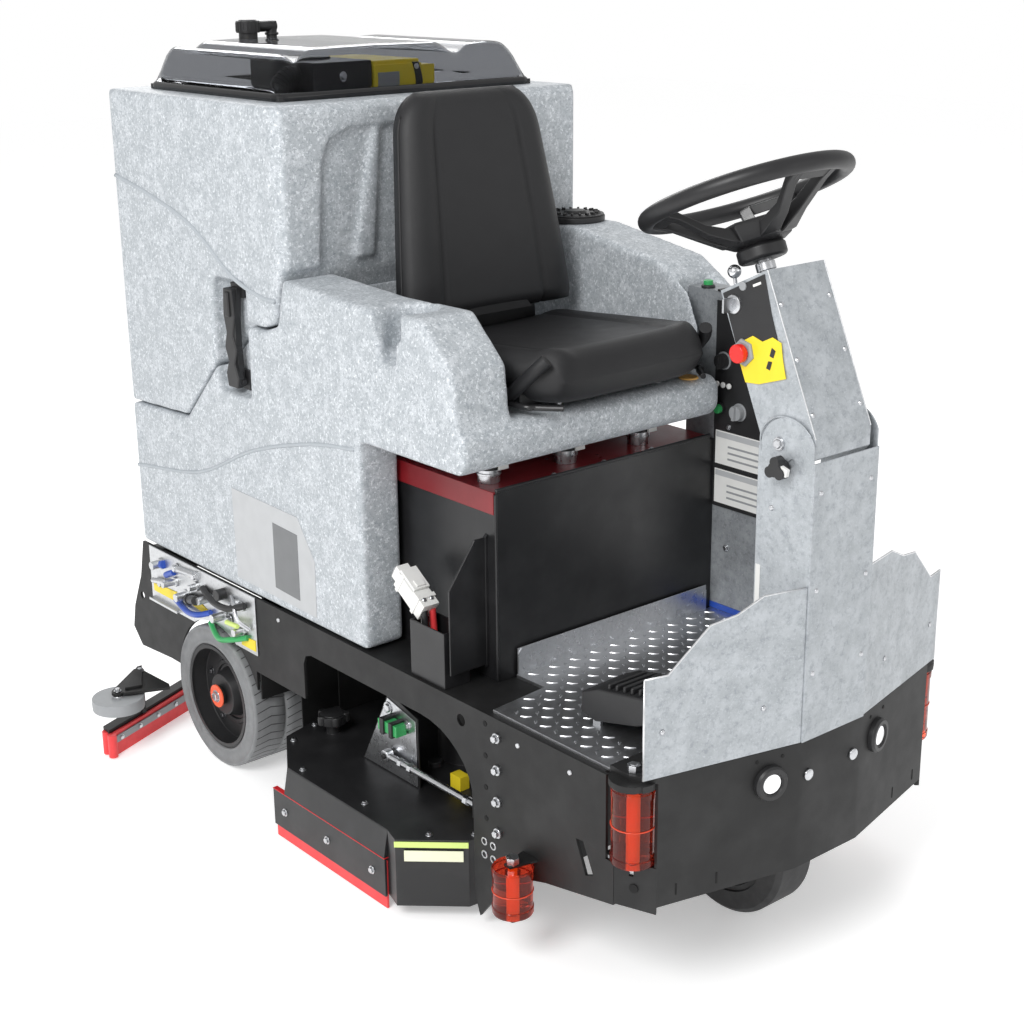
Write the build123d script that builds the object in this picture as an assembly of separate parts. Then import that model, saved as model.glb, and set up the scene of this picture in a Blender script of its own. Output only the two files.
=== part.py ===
from build123d import *
import os
from math import cos, radians, sin, sqrt

# Ride-on floor scrubber, as separate solids in one shared frame.
#
# Every piece is modelled with X to the machine's right, Y forwards from the lower tank's front
# face and Z up from the floor. When it is written out it is turned half a turn, so that the
# machine faces -Y, and its origin is moved to the middle of the footprint.

# Overall extents
FRONT = 800.0
REAR = -960.0
MIDDLE = (FRONT + REAR) / 2

# Tanks
TANK_HALF = 361.0
TANK_REAR = -840.0
TANK_BOTTOM = 428.0
TANK_TOP = 1394.0
TANK_HINGE = (-850.0, 420.0)
LID_HINGE = (-774.0, 1399.0)
TALL_FRONT = -231.0
WALL = 8.0
DECK_TOP = 905.0
DECK_BOTTOM = 828.0
DECK_FRONT = 300.0
SEAT_HALF = 240.0
LEFT_ARM_FRONT = 245.0
LEFT_ARM_TOP = 1133.0
LATCH_REAR = -474.0
LATCH_FRONT = -357.0
LATCH_LOW = 838.0
LATCH_HIGH = 1060.0
CAP_X = -300.0
CAP_Y = -160.0
CUP_X = 303.0
CUP_Y = 92.0
CUP_R = 47.0

# Chassis
FRAME_TOP = 424.0
PLATE = 6.0
SHEET = 3.0
PLATFORM_LOW = 412.0
TREAD_TOP = 430.0
RAIL_IN = 215.0
RAIL_OUT = 255.0
BOX_HALF = 262.0
BOX_REAR = -350.0
BOX_FRONT = 262.0
BOX_TOP = 771.0
TOWER_IN = -275.0
TOWER_OUT = -330.0
TOWER_REAR = 186.0
TOWER_FRONT = 400.0
TOWER_TOP = 1052.0

# Front end, seen from above: centre facet, swept facets and cut corners
NOSE = 797.0
NOSE_HALF = 77.0
FACET_X = 335.0
FACET_Y = 735.0
CORNER_Y = 645.0
BUMPER_LOW = 216.0
BUMPER_TOP = 443.0

# Steering column
TILT_Y = 727.0
TILT_Z = 927.0
TILT_RANGE = 22.0
KNOB_Y = 741.0
KNOB_Z = 893.0
ESTOP = (647.0, 1057.0)
KEY = (622.0, 1129.0)
COLUMN_HALF = 77.0
UPPER_HALF = 73.5
UPPER_LEFT = 57.0
RAKE = 23.4
WHEEL_Y = 571.0
WHEEL_Z = 1287.0
RIM_R = 161.0
RIM_TUBE = 14.5
BOSS_LOW = -108.0

# Wheels
REAR_Y = -548.0
REAR_R = 155.0
TYRE_OUT = 371.0
TYRE_WIDE = 146.0
DISH_DEEP = 86.0
DRIVE_X = -50.0
DRIVE_Y = 557.0
DRIVE_R = 140.0
DRIVE_WIDE = 90.0
ROLLER_R = 37.0
SIDE_ROLLER_R = 36.0
CORNER_X = 346.0
CORNER_CENTRE = 692.0
RUNNING = 0.05

# Scrub deck
SKIRT_X = 440.0
DECK_PLATE = 160.0
SKIRT_LOW = 27.0
BRUSH_X = 224.0
BRUSH_Y = 20.0
BRUSH_R = 212.0
EAR_X = 304.0
LINK_X = 322.0
LINK_REAR = 0.0
LINK_FRONT = 290.0
LINK_Z = 205.0
LINK_PIN = 5.0

# Squeegee
SWING_Y = -862.0
LIFT_Y = -640.0
LIFT_Z = 250.0
SQUEEGEE_TIP = (536.0, -733.0)
SQUEEGEE_BEND = (306.0, -829.0)
SQUEEGEE_BACK = -936.0
SIDE_WHEEL = (520.0, -705.0)
WHEEL_POST = (430.0, -772.0)

# Small controls
LEVER_X = 52.0
LEVER_Y = 607.0
LEVER_Z = 1134.0
LEVER_LEAN = 10.0
LAMP_X = 133.0
LAMP_Z = 387.0
BUMPER_BOLT_Z = 381.0
HORN = (-286.0, 225.0)
LAMP_TURN = 13.5
PEDAL_Y = 512.0
PEDAL_Z = 446.0


def block(x0, x1, y0, y1, z0, z1):
    """A box between two corners."""
    return Pos((x0 + x1) / 2, (y0 + y1) / 2, (z0 + z1) / 2) * Box(x1 - x0, y1 - y0, z1 - z0)


def rod(radius, start, end, along="Z", at=(0, 0)):
    """A cylinder along one axis, from start to end, at its other two coordinates in order."""
    middle = (start + end) / 2
    body = Cylinder(radius, end - start)
    if along == "X":
        return Pos(middle, at[0], at[1]) * Rot(0, 90, 0) * body
    if along == "Y":
        return Pos(at[0], middle, at[1]) * Rot(90, 0, 0) * body
    return Pos(at[0], at[1], middle) * body


def side_slab(outline, x0, x1):
    """An outline of (forward, up) points, as thick as the gap from x0 to x1."""
    face = Plane.YZ.offset(x0) * Polygon(*outline, align=None)
    return extrude(face, amount=x1 - x0, dir=(1, 0, 0))


def front_slab(outline, y0, y1):
    """An outline of (right, up) points, as thick as the gap from y0 to y1."""
    plane = Plane(origin=(0, y0, 0), x_dir=(1, 0, 0), z_dir=(0, -1, 0))
    return extrude(plane * Polygon(*outline, align=None), amount=y1 - y0, dir=(0, 1, 0))


def top_slab(outline, z0, z1):
    """An outline of (right, forward) points, as thick as the gap from z0 to z1."""
    return extrude(Pos(0, 0, z0) * Polygon(*outline, align=None), amount=z1 - z0, dir=(0, 0, 1))


def both_sides(outline):
    """The right half of an outline, front to rear, followed by its mirror image."""
    return outline + [(-x, y) for x, y in reversed(outline)]


def left_of(shape):
    """The same piece on the machine's other side."""
    return mirror(shape, about=Plane.YZ)


def nose_outline(inset):
    """The front end's plan outline, moved inwards, from the right corner to the left one."""
    slope = (NOSE - FACET_Y) / (FACET_X - NOSE_HALF)
    back = inset * sqrt(1 + slope * slope)
    return [(FACET_X, FACET_Y - back), (NOSE_HALF, NOSE - back),
            (-NOSE_HALF, NOSE - back), (-FACET_X, FACET_Y - back)]


# Chassis ------------------------------------------------------------------------------------

def frame_side():
    """The right side plate: tail, wheel arch, long rail and the deep front cheek."""
    outline = [(-844, FRAME_TOP), (CORNER_Y, FRAME_TOP), (CORNER_Y, 275), (664, 275), (664, 199),
               (500, 166), (460, 154), (387, 103), (322, 22), (308, 60)]
    for step in range(9):
        turn = radians(90 * step / 8)
        outline.append((160 + 148 * cos(turn), 240 + 119 * sin(turn)))
    outline += [(-190, 359), (-208, 352), (-216, 334), (-216, 259), (-395, 259), (-395, 174),
                (-752, 174), (-885, 164), (-920, 201), (-907, 254), (-866, 338)]
    plate = side_slab(outline, TANK_HALF - PLATE, TANK_HALF)
    plate -= rod(REAR_R + 10, 300, 400, "X", (REAR_Y, REAR_R))
    for step in range(4):
        plate -= rod(5, 350, 370, "X", (344, 405 - 60 * step))
        plate -= rod(5 + RUNNING, 350, 370, "X", (377, 390 - 60 * step))
    plate -= rod(11, 350, 370, "X", (278, 388))
    plate -= rod(9, 350, 370, "X", (-866, 290))
    plate -= side_slab([(574, 282), (592, 284), (616, 232), (598, 224)], 350, 370)
    return plate


def chassis_frame():
    """The welded chassis: long rails, cross tubes, axle plates, steering ring and platform.
    The rear axle is a second solid."""
    frame = block(-355, 355, -300, CORNER_Y - 10, PLATFORM_LOW, FRAME_TOP)
    nose = [(330, CORNER_Y - 10)] + nose_outline(6) + [(-330, CORNER_Y - 10)]
    frame += top_slab(nose, PLATFORM_LOW, FRAME_TOP)
    for side in (1, -1):
        low, high = sorted((side * RAIL_IN, side * RAIL_OUT))
        frame += block(low, high, -838, 440, 352, PLATFORM_LOW)
        low, high = sorted((side * (RAIL_IN - 15), side * (RAIL_IN + 5)))
        frame += block(low, high, REAR_Y - 45, REAR_Y + 45, 120, 353)
        low, high = sorted((side * 34, side * 46))
        frame += block(low, high, LIFT_Y - 22, LIFT_Y + 30, LIFT_Z - 22, 353)
    frame += block(-355, 355, -838, -798, 352, PLATFORM_LOW)
    frame += block(-355, 355, -300, -262, 352, PLATFORM_LOW + 1)
    frame += block(-100, 100, -798, LIFT_Y + 30, 340, 400)
    frame += block(-355, 355, -392, -388, 197, PLATFORM_LOW + 1)
    frame += block(-222, 222, -308, -304, 120, PLATFORM_LOW + 1)
    frame -= rod(12 + RUNNING, -300, 300, "X", (REAR_Y, REAR_R))
    frame -= rod(8 + RUNNING, -60, 60, "X", (LIFT_Y, LIFT_Z))
    frame += rod(82, 345, PLATFORM_LOW + 1, at=(DRIVE_X, DRIVE_Y))
    frame -= rod(25 + RUNNING, 330, FRAME_TOP - 4, at=(DRIVE_X, DRIVE_Y))
    for side in (1, -1):
        frame -= rod(ROLLER_R + 5, 400, 430, at=(side * CORNER_X, CORNER_CENTRE))
    hanger = LINK_X + 10
    frame += block(hanger, hanger + 6, LINK_FRONT - 14, LINK_FRONT + 14, LINK_Z - 14, PLATFORM_LOW + 1)
    frame += rod(LINK_PIN, LINK_X - 9, hanger + 1, "X", (LINK_FRONT, LINK_Z))
    for x in (-240, 180):
        frame += block(x, x + 30, TANK_HINGE[0] - 6, -836, 405, 414)
        frame += rod(8, x, x + 30, "X", TANK_HINGE) + rod(4, x, x + 60, "X", TANK_HINGE)
    return Compound(children=[frame, rear_axle()])


def floor_plate():
    """The tread plate that the operator's feet rest on, with its upturned rear edge."""
    outline = [(224, 266), (222, 339), (349, 352), (349, 640), (325, 690)]
    outline += [(x * 0.93, y - 14) for x, y in nose_outline(6)]
    outline += [(-325, 690), (-349, 640), (-349, 402), (-272, 402), (-272, 266)]
    tread = top_slab(outline, FRAME_TOP, TREAD_TOP)
    tread += block(-256, 222, 266, 268, TREAD_TOP - 1, 480)
    for side in (1, -1):
        tread -= rod(ROLLER_R + 5, 420, 440, at=(side * CORNER_X, CORNER_CENTRE))
    for x in (152, 252):
        ear = block(x, x + 6, PEDAL_Y - 9, PEDAL_Y + 9, TREAD_TOP - 1, PEDAL_Z + 8)
        tread += ear - rod(4 + RUNNING, x - 1, x + 7, "X", (PEDAL_Y, PEDAL_Z))
    return tread


def battery_box():
    """The open steel box for the batteries, the gusset welded to its right side, and a pocket
    for the connector."""
    box = block(-BOX_HALF, BOX_HALF, BOX_REAR, BOX_FRONT, FRAME_TOP, BOX_TOP)
    box -= block(4 - BOX_HALF, BOX_HALF - 4, BOX_REAR + 4, BOX_FRONT - 4, FRAME_TOP + 4, 900)
    front = block(-BOX_HALF, BOX_HALF, BOX_FRONT - 4, BOX_FRONT, BOX_TOP - 1, BOX_TOP + 9)
    gusset = front_slab([(BOX_HALF, 452), (348, 452), (348, 610), (290, 690), (BOX_HALF, 690)],
                        232, 236)
    box += block(-274, -BOX_HALF + 1, 258, BOX_FRONT, FRAME_TOP, BOX_TOP)
    return Compound(children=[box + front + gusset, connector_pocket()])


def battery_pack():
    """Four batteries with their terminal posts."""
    cells = []
    for x in (-128, 128):
        for y in (-190, 100):
            cell = block(x - 120, x + 120, y - 138, y + 138, FRAME_TOP + 4, 690)
            for post in (-80, 80):
                cell += rod(9, 690, 706, at=(x + post, y + 100))
            cells.append(cell)
    return Compound(children=cells)


def battery_flange():
    """The red angle frame around the top of the battery box."""
    high = BOX_TOP + 5
    frame = block(-BOX_HALF - 4, BOX_HALF + 4, BOX_REAR, BOX_FRONT - 4, BOX_TOP, high)
    frame -= block(-220, 220, BOX_REAR - 1, 120, BOX_TOP - 1, high + 1)
    for side in (1, -1):
        low, high_x = sorted((side * BOX_HALF, side * (BOX_HALF + 4)))
        frame += block(low, high_x, BOX_REAR, BOX_FRONT - 4, BOX_TOP - 36, BOX_TOP + 1)
    return frame


def connector_pocket():
    """The small open pocket on the platform that the battery connector's leads rise from."""
    pocket = block(298, 354, 128, 226, FRAME_TOP, 530)
    pocket -= block(301, 351, 131, 223, FRAME_TOP + 3, 540)
    return pocket


def battery_connector():
    """The two-pole battery connector, tilted, with its two leads going down into the pocket."""
    body = Pos(326, 112, 566) * Rot(-34, 0, 0) * Box(34, 84, 36)
    nose = Pos(326, 112, 566) * Rot(-34, 0, 0) * Pos(0, -48, 0) * Box(26, 20, 28)
    leads = rod(6, FRAME_TOP + 3, 545, at=(317, 146)) + rod(6, FRAME_TOP + 3, 545, at=(335, 146))
    return body + nose + leads


def front_bumper():
    """The folded steel bumper, its low corner facets, and the brackets of the four rollers."""
    outer = nose_outline(0)
    inner = nose_outline(PLATE)
    bumper = top_slab(outer + list(reversed(inner)), BUMPER_LOW, BUMPER_TOP)
    for side in (1, -1):
        corner = [(side * 361, 665), (side * FACET_X, FACET_Y), (side * 329, FACET_Y - 5),
                  (side * 354, 665)]
        bumper += top_slab(corner, 203, 285)
        shelf = [(side * 354, 665), (side * FACET_X, FACET_Y), (side * 290, FACET_Y),
                 (side * 290, 640), (side * 354, 640)]
        bumper += top_slab(shelf, 279, 285)
        shelf_top = [(side * 359, 652), (side * 362, 700), (side * FACET_X, FACET_Y),
                     (side * 290, FACET_Y), (side * 290, 652)]
        bumper += top_slab(shelf_top, 433, BUMPER_TOP)
        bumper += rod(ROLLER_R + 3, 423, 434, at=(side * CORNER_X, CORNER_CENTRE))
        bumper -= rod(6 + RUNNING, 260, 460, at=(side * CORNER_X, CORNER_CENTRE))
        tab = [(side * (TANK_HALF + 0.5), 440), (side * 395, 448), (side * 412, 452),
               (side * 412, 468), (side * 395, 472), (side * (TANK_HALF + 0.5), 480)]
        bumper += top_slab(tab, 197.5, 201.5) - rod(6 + RUNNING, 190, 210, at=(side * 400, 460))
        bumper -= lamp_place(side) * Cylinder(20, 60)
    for x in (56, -56):
        bumper -= rod(5 + RUNNING, 780, 810, "Y", (x, BUMPER_BOLT_Z))
    outline = nose_outline(0) + [(-600, 640), (600, 640)]
    keep = top_slab(outline, 100, 500) + block(-362, 362, 600, 736, 100, 500)
    wings = block(355, 430, 400, 500, 190, 225) + block(-430, -355, 400, 500, 190, 225)
    return bumper & (keep + wings)


def front_splash():
    """The two speckled sheet wings above the bumper, one each side of the column."""
    plan = [(361, 729), (NOSE_HALF + 0.5, NOSE), (NOSE_HALF + 0.5, NOSE - SHEET), (361, 726)]
    rise = [(361, 443.5), (361, 612), (321, 612), (249, 679), (202, 687), (156, 709),
            (70, 709), (70, 443.5)]
    right = top_slab(plan, 443.5, 720) & front_slab(rise, 600, 850)
    return Compound(children=[right, left_of(right)])


def lamp_place(side):
    """Where a headlight sits on its swept facet, with Z out of the facet."""
    return Pos(side * LAMP_X, 783, LAMP_Z) * Rot(0, 0, side * -LAMP_TURN) * Rot(-90, 0, 0)


def headlights():
    """Two round lamps, each a bezel with a lens in it."""
    pieces = []
    for side in (1, -1):
        bezel = Pos(0, 0, 5.5) * Cylinder(29, 9) + Pos(0, 0, -12) * Cylinder(19.5, 28)
        bezel -= Pos(0, 0, 7) * Cylinder(18.5, 12)
        lens = Pos(0, 0, 5) * Cylinder(18.4, 7)
        pieces += [lamp_place(side) * bezel, lamp_place(side) * lens]
    return Compound(children=pieces)


def column_lower():
    """The fixed lower column: a channel open to the rear, with round ears for the tilt pivot."""
    column = block(-COLUMN_HALF, COLUMN_HALF, NOSE, FRONT, BUMPER_TOP + 0.5, 909)
    for side in (1, -1):
        low, high = sorted((side * (COLUMN_HALF - 2.5), side * COLUMN_HALF))
        ear = block(low, high, 685, NOSE, TREAD_TOP, 915)
        ear += rod(56, low, high, "X", (745, 915)) & block(low, high, 680, NOSE, 800, 1000)
        ear -= rod(6 + RUNNING, low - 1, high + 1, "X", (TILT_Y, TILT_Z))
        column += ear
    reach = sqrt((KNOB_Y - TILT_Y) ** 2 + (KNOB_Z - TILT_Z) ** 2)
    for step in range(12):
        turn = radians(-67.6 + (TILT_RANGE + 3) * step / 11)
        at = (TILT_Y + reach * cos(turn), TILT_Z + reach * sin(turn))
        column -= rod(5.5, 70, 80, "X", at)
    return column - block(-80, 80, NOSE - 10, NOSE, 420, BUMPER_TOP + 0.5)


def column_upper():
    """The tilting upper column, a sheet-metal box closed at the front, sides and top."""
    outline = [(796, 945), (796, 915), (765, 874), (715, 874), (688, 926), (592, 1146), (687, 1191)]
    inner = [(794, 943.5), (794, 900), (765, 860), (715, 860), (690.5, 920), (595.5, 1144.5), (686, 1187.5)]
    column = side_slab(outline, -UPPER_LEFT, UPPER_HALF)
    column -= side_slab(inner, 2 - UPPER_LEFT, UPPER_HALF - 2)
    column -= block(2 - UPPER_LEFT, UPPER_HALF - 2, 700, 790, 860, 935)
    column -= rod(6 + RUNNING, -90, 90, "X", (TILT_Y, TILT_Z))
    column -= rod(4 + RUNNING, 60, 90, "X", (KNOB_Y, KNOB_Z))
    column -= along_shaft(rod(11 + RUNNING, -300, 60))
    column -= rod(8 + RUNNING, 60, 90, "X", ESTOP)
    column -= rod(7 + RUNNING, 60, 90, "X", KEY)
    column -= block(LEVER_X - 3.5, LEVER_X + 3.5, LEVER_Y - 10.5, LEVER_Y + 4, LEVER_Z + 10, 1170)
    return column


def along_shaft(shape):
    """Stands a shape built about Z on the raked steering axis, with Z = 0 at the wheel."""
    return Pos(0, WHEEL_Y, WHEEL_Z) * Rot(RAKE, 0, 0) * shape


def steering_shaft():
    """The steering shaft, with a collar under the wheel."""
    shaft = rod(11, -330, BOSS_LOW + 18) + rod(16, BOSS_LOW - 17, BOSS_LOW - 4)
    return along_shaft(shaft)


def steering_wheel():
    """A three-spoke wheel: round rim, spokes that slope down to a deep hub, and its boss."""
    wheel = Torus(RIM_R, RIM_TUBE)
    wheel += top_slab([(-52, -46), (52, -46), (60, 20), (30, 52), (-30, 52), (-60, 20)], -80, -48)
    wheel += rod(40, BOSS_LOW, -79)
    spoke = side_slab([(RIM_R - 4, 2), (RIM_R - 4, -12), (34, -74), (34, -52)], -17, 17)
    for turn in (0, 120, 240):
        wheel += Rot(0, 0, turn) * spoke
    wheel -= rod(11, BOSS_LOW - 5, BOSS_LOW + 18)
    return along_shaft(wheel)


def tilt_knob():
    """The three-lobed clamp knob of the column tilt, with its stud."""
    knob = rod(12, 80, 104, "X", (KNOB_Y, KNOB_Z))
    for turn in (90, 210, 330):
        at = (KNOB_Y + 11 * cos(radians(turn)), KNOB_Z + 11 * sin(radians(turn)))
        knob += rod(9, 88, 104, "X", at)
    return knob + rod(4, 66, 81, "X", (KNOB_Y, KNOB_Z))


def estop_button():
    """The mushroom-headed emergency stop."""
    return rod(15, 82, 95, "X", ESTOP) + rod(8, 64, 83, "X", ESTOP)


def key_switch():
    """The key in its barrel."""
    y, z = KEY
    return rod(12, 74, 79, "X", KEY) + rod(7, 62, 75, "X", KEY) + block(78, 100, y - 2, y + 2, z - 11, z + 11)


def drive_lever():
    """The small lever with a chrome ball on top of the column."""
    upright = rod(3, 0, 36) + Pos(0, 0, 41) * Sphere(11)
    leaning = Pos(LEVER_X, LEVER_Y, LEVER_Z) * Rot(LEVER_LEAN, 0, 0) * upright
    return leaning + rod(3, LEVER_X - 8, UPPER_HALF - 2.1, "X", (LEVER_Y, LEVER_Z))


def control_tower():
    """The sheet-metal tower at the operator's left hand."""
    tower = block(TOWER_OUT, TOWER_IN, TOWER_REAR, TOWER_FRONT, FRAME_TOP, TOWER_TOP)
    tower -= block(TOWER_OUT + 2, TOWER_IN - 2, TOWER_REAR + 2, TOWER_FRONT - 2, FRAME_TOP - 1,
                   TOWER_TOP - 2)
    tower -= rod(5 + RUNNING, 1040, 1060, at=HORN)
    for y, z in ((284, 925), (326, 834)):
        tower -= rod(4 + RUNNING, -290, -260, "X", (y, z))
    return tower


def control_panel():
    """The black panel on the tower's inner face, with its green lamp and indicator lamps."""
    panel = block(-275, -272, 262, 396, 640, 1036)
    for y, z in ((284, 925), (326, 834)):
        panel -= rod(4 + RUNNING, -290, -260, "X", (y, z))
    lamps = [panel, rod(10, -272, -264, "X", (281, 834))]
    lamps += [rod(4, -272, -266, "X", (272 + 15 * step, 880)) for step in range(3)]
    return Compound(children=lamps)


def panel_knob(y, z, radius):
    """A turning knob with a grip bar, on the panel."""
    knob = rod(radius, -271, -258, "X", (y, z)) + rod(4, -284, -270, "X", (y, z))
    return knob + block(-259, -252, y - 3, y + 3, z - radius + 1, z + radius - 1)


def horn_button():
    """The push button on top of the tower."""
    return rod(9, 1055, 1066, at=HORN) + rod(5, 1040, 1056, at=HORN)


def rear_axle():
    """The straight axle, with its end washers."""
    axle = rod(12, -TYRE_OUT - 1, TYRE_OUT + 1, "X", (REAR_Y, REAR_R))
    for side in (1, -1):
        low, high = sorted((side * (TYRE_OUT - 10), side * (TYRE_OUT - 3)))
        axle += rod(22, low, high, "X", (REAR_Y, REAR_R))
    return axle


def frame_bolts():
    """The visible bolts: cheeks, bumper, roller axles, column pivot, deck rests and seat."""
    bolts = []
    for side in (1, -1):
        for step in range(4):
            low, high = sorted((side * 350, side * 372))
            bolt = rod(5, low, high, "X", (377, 390 - 60 * step))
            low, high = sorted((side * (TANK_HALF), side * 366))
            bolts.append(bolt + rod(9, low, high, "X", (377, 390 - 60 * step)))
        at = (side * CORNER_X, CORNER_CENTRE)
        bolts.append(rod(6, 268, 456, at=at) + hexagon(11, BUMPER_TOP, 455, at))
        at = (side * 400, 460)
        bolts.append(rod(6, 94, 214, at=at) + hexagon(12, 201.5, 214, at) + hexagon(11, 94, 109.5, at))
        low, high = sorted((side * 50, side * (COLUMN_HALF + 3)))
        pivot = rod(6, low, high, "X", (TILT_Y, TILT_Z))
        low, high = sorted((side * COLUMN_HALF, side * (COLUMN_HALF + 4)))
        bolts.append(pivot + rod(10, low, high, "X", (TILT_Y, TILT_Z)))
        bolt = rod(5, 786, FRONT, "Y", (side * 56, BUMPER_BOLT_Z))
        bolts.append(bolt + rod(8, NOSE, FRONT, "Y", (side * 56, BUMPER_BOLT_Z)))
    bolts.append(rod(12, -COLUMN_HALF + 2.6, -UPPER_LEFT - 0.1, "X", (TILT_Y, TILT_Z))
                 - rod(6, -90, -50, "X", (TILT_Y, TILT_Z)))
    for x in (228, 49, -132):
        bolts.append(rod(20, BOX_TOP + 5, BOX_TOP + 29, at=(x, 201)))
    return Compound(children=bolts)


def hexagon(radius, z0, z1, at):
    """A hexagonal head, standing."""
    return Pos(at[0], at[1], z0) * extrude(RegularPolygon(radius, 6), amount=z1 - z0)


def service_tray():
    """The panel in the side above the rear wheel, with drain valves and tubes on it."""
    face = TANK_HALF + 0.2
    panel = side_slab([(-812, FRAME_TOP), (-812, 297), (-382, 297), (-382, FRAME_TOP)], face, face + 3)
    panel -= rod(REAR_R + 10, 350, 380, "X", (REAR_Y, REAR_R))
    pieces = [panel]
    out = face + 3
    fittings = ((-760, 395, 9, 26), (-700, 370, 7, 34), (-655, 352, 9, 30), (-610, 385, 7, 22),
                (-560, 372, 8, 30), (-500, 352, 9, 34), (-455, 390, 7, 20), (-430, 340, 8, 26))
    for y, z, radius, reach in fittings:
        fitting = rod(radius, out, out + reach, "X", (y, z))
        pieces.append(fitting + rod(radius + 4, out, out + 6, "X", (y, z)))
    return Compound(children=pieces)


# Wheels -------------------------------------------------------------------------------------

def ring_of(outline, axis_y, axis_z):
    """A ring from its (radius, x) section, turned about the X axis through (axis_y, axis_z)."""
    face = Plane.XY * Polygon(*[(x, radius) for radius, x in outline], align=None)
    return Pos(0, axis_y, axis_z) * revolve(face, Axis.X, 360)


def rear_tyre():
    """The solid grey tyre, with rounded shoulders."""
    inner = TYRE_OUT - TYRE_WIDE
    outline = [(116, inner), (REAR_R - 3, inner), (REAR_R, inner + 4), (REAR_R, TYRE_OUT - 4),
               (REAR_R - 3, TYRE_OUT), (116, TYRE_OUT)]
    return ring_of(outline, REAR_Y, REAR_R)


def rear_rim():
    """The dished wheel centre, with its hub bore."""
    inner = TYRE_OUT - TYRE_WIDE + 2
    dish = TYRE_OUT - DISH_DEEP
    bore = 12 + RUNNING
    outline = [(bore, dish + 2), (40, dish + 2), (48, dish + 26), (100, dish + 30),
               (106, inner), (115.95, inner), (115.95, TYRE_OUT - 3), (108, TYRE_OUT - 3),
               (104, dish + 48), (54, dish + 44), (44, TYRE_OUT - 14), (bore, TYRE_OUT - 14)]
    return ring_of(outline, REAR_Y, REAR_R)


def drive_wheel():
    """The front drive wheel: a black solid tyre on a bolted hub."""
    half = DRIVE_WIDE / 2
    outline = [(98, -half), (DRIVE_R - 9, -half), (DRIVE_R, 9 - half), (DRIVE_R, half - 9),
               (DRIVE_R - 9, half), (98, half)]
    return Pos(DRIVE_X, 0, 0) * Compound(children=[ring_of(outline, DRIVE_Y, DRIVE_R), drive_hub()])


def drive_hub():
    """The bolted hub inside the drive tyre."""
    half = DRIVE_WIDE / 2
    outline = [(14 + RUNNING, -half + 4), (97.95, -half + 4), (97.95, half - 4), (88, half - 4),
               (84, half - 16), (40, half - 16), (36, half + 2), (14 + RUNNING, half + 2)]
    hub = ring_of(outline, DRIVE_Y, DRIVE_R)
    for step in range(8):
        turn = radians(45 * step)
        at = (DRIVE_Y + 62 * cos(turn), DRIVE_R + 62 * sin(turn))
        hub += rod(6, half - 17, half - 8, "X", at)
    return hub


def drive_fork():
    """The steered fork with its kingpin and axle, and the drive motor bolted to it."""
    fork = rod(80, 326, 343, at=(0, DRIVE_Y)) + rod(25, 340, FRAME_TOP - 5, at=(0, DRIVE_Y))
    for side in (1, -1):
        low, high = sorted((side * 52, side * 62))
        fork += block(low, high, DRIVE_Y - 30, DRIVE_Y + 30, DRIVE_R - 26, 330)
    fork += rod(14, -62, 62, "X", (DRIVE_Y, DRIVE_R))
    fork += block(-62, 62, DRIVE_Y - 30, DRIVE_Y + 30, 300, 330)
    return Pos(DRIVE_X, 0, 0) * Compound(children=[fork, drive_motor()])


def drive_motor():
    """The drive motor on the fork's left leg."""
    motor = rod(52, -150, -62, "X", (DRIVE_Y, DRIVE_R + 46))
    return motor + rod(30, -162, -149, "X", (DRIVE_Y, DRIVE_R + 46))


def roller(x, y, z0, z1, radius):
    """A bumper roller with a bore for its bolt and slightly raised end rings."""
    body = rod(radius - 1.5, z0, z1, at=(x, y))
    body += rod(radius, z0 + 3, z0 + 14, at=(x, y)) + rod(radius, z1 - 14, z1 - 3, at=(x, y))
    return body - rod(6 + RUNNING, z0 - 1, z1 + 1, at=(x, y))


# Tanks --------------------------------------------------------------------------------------

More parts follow.
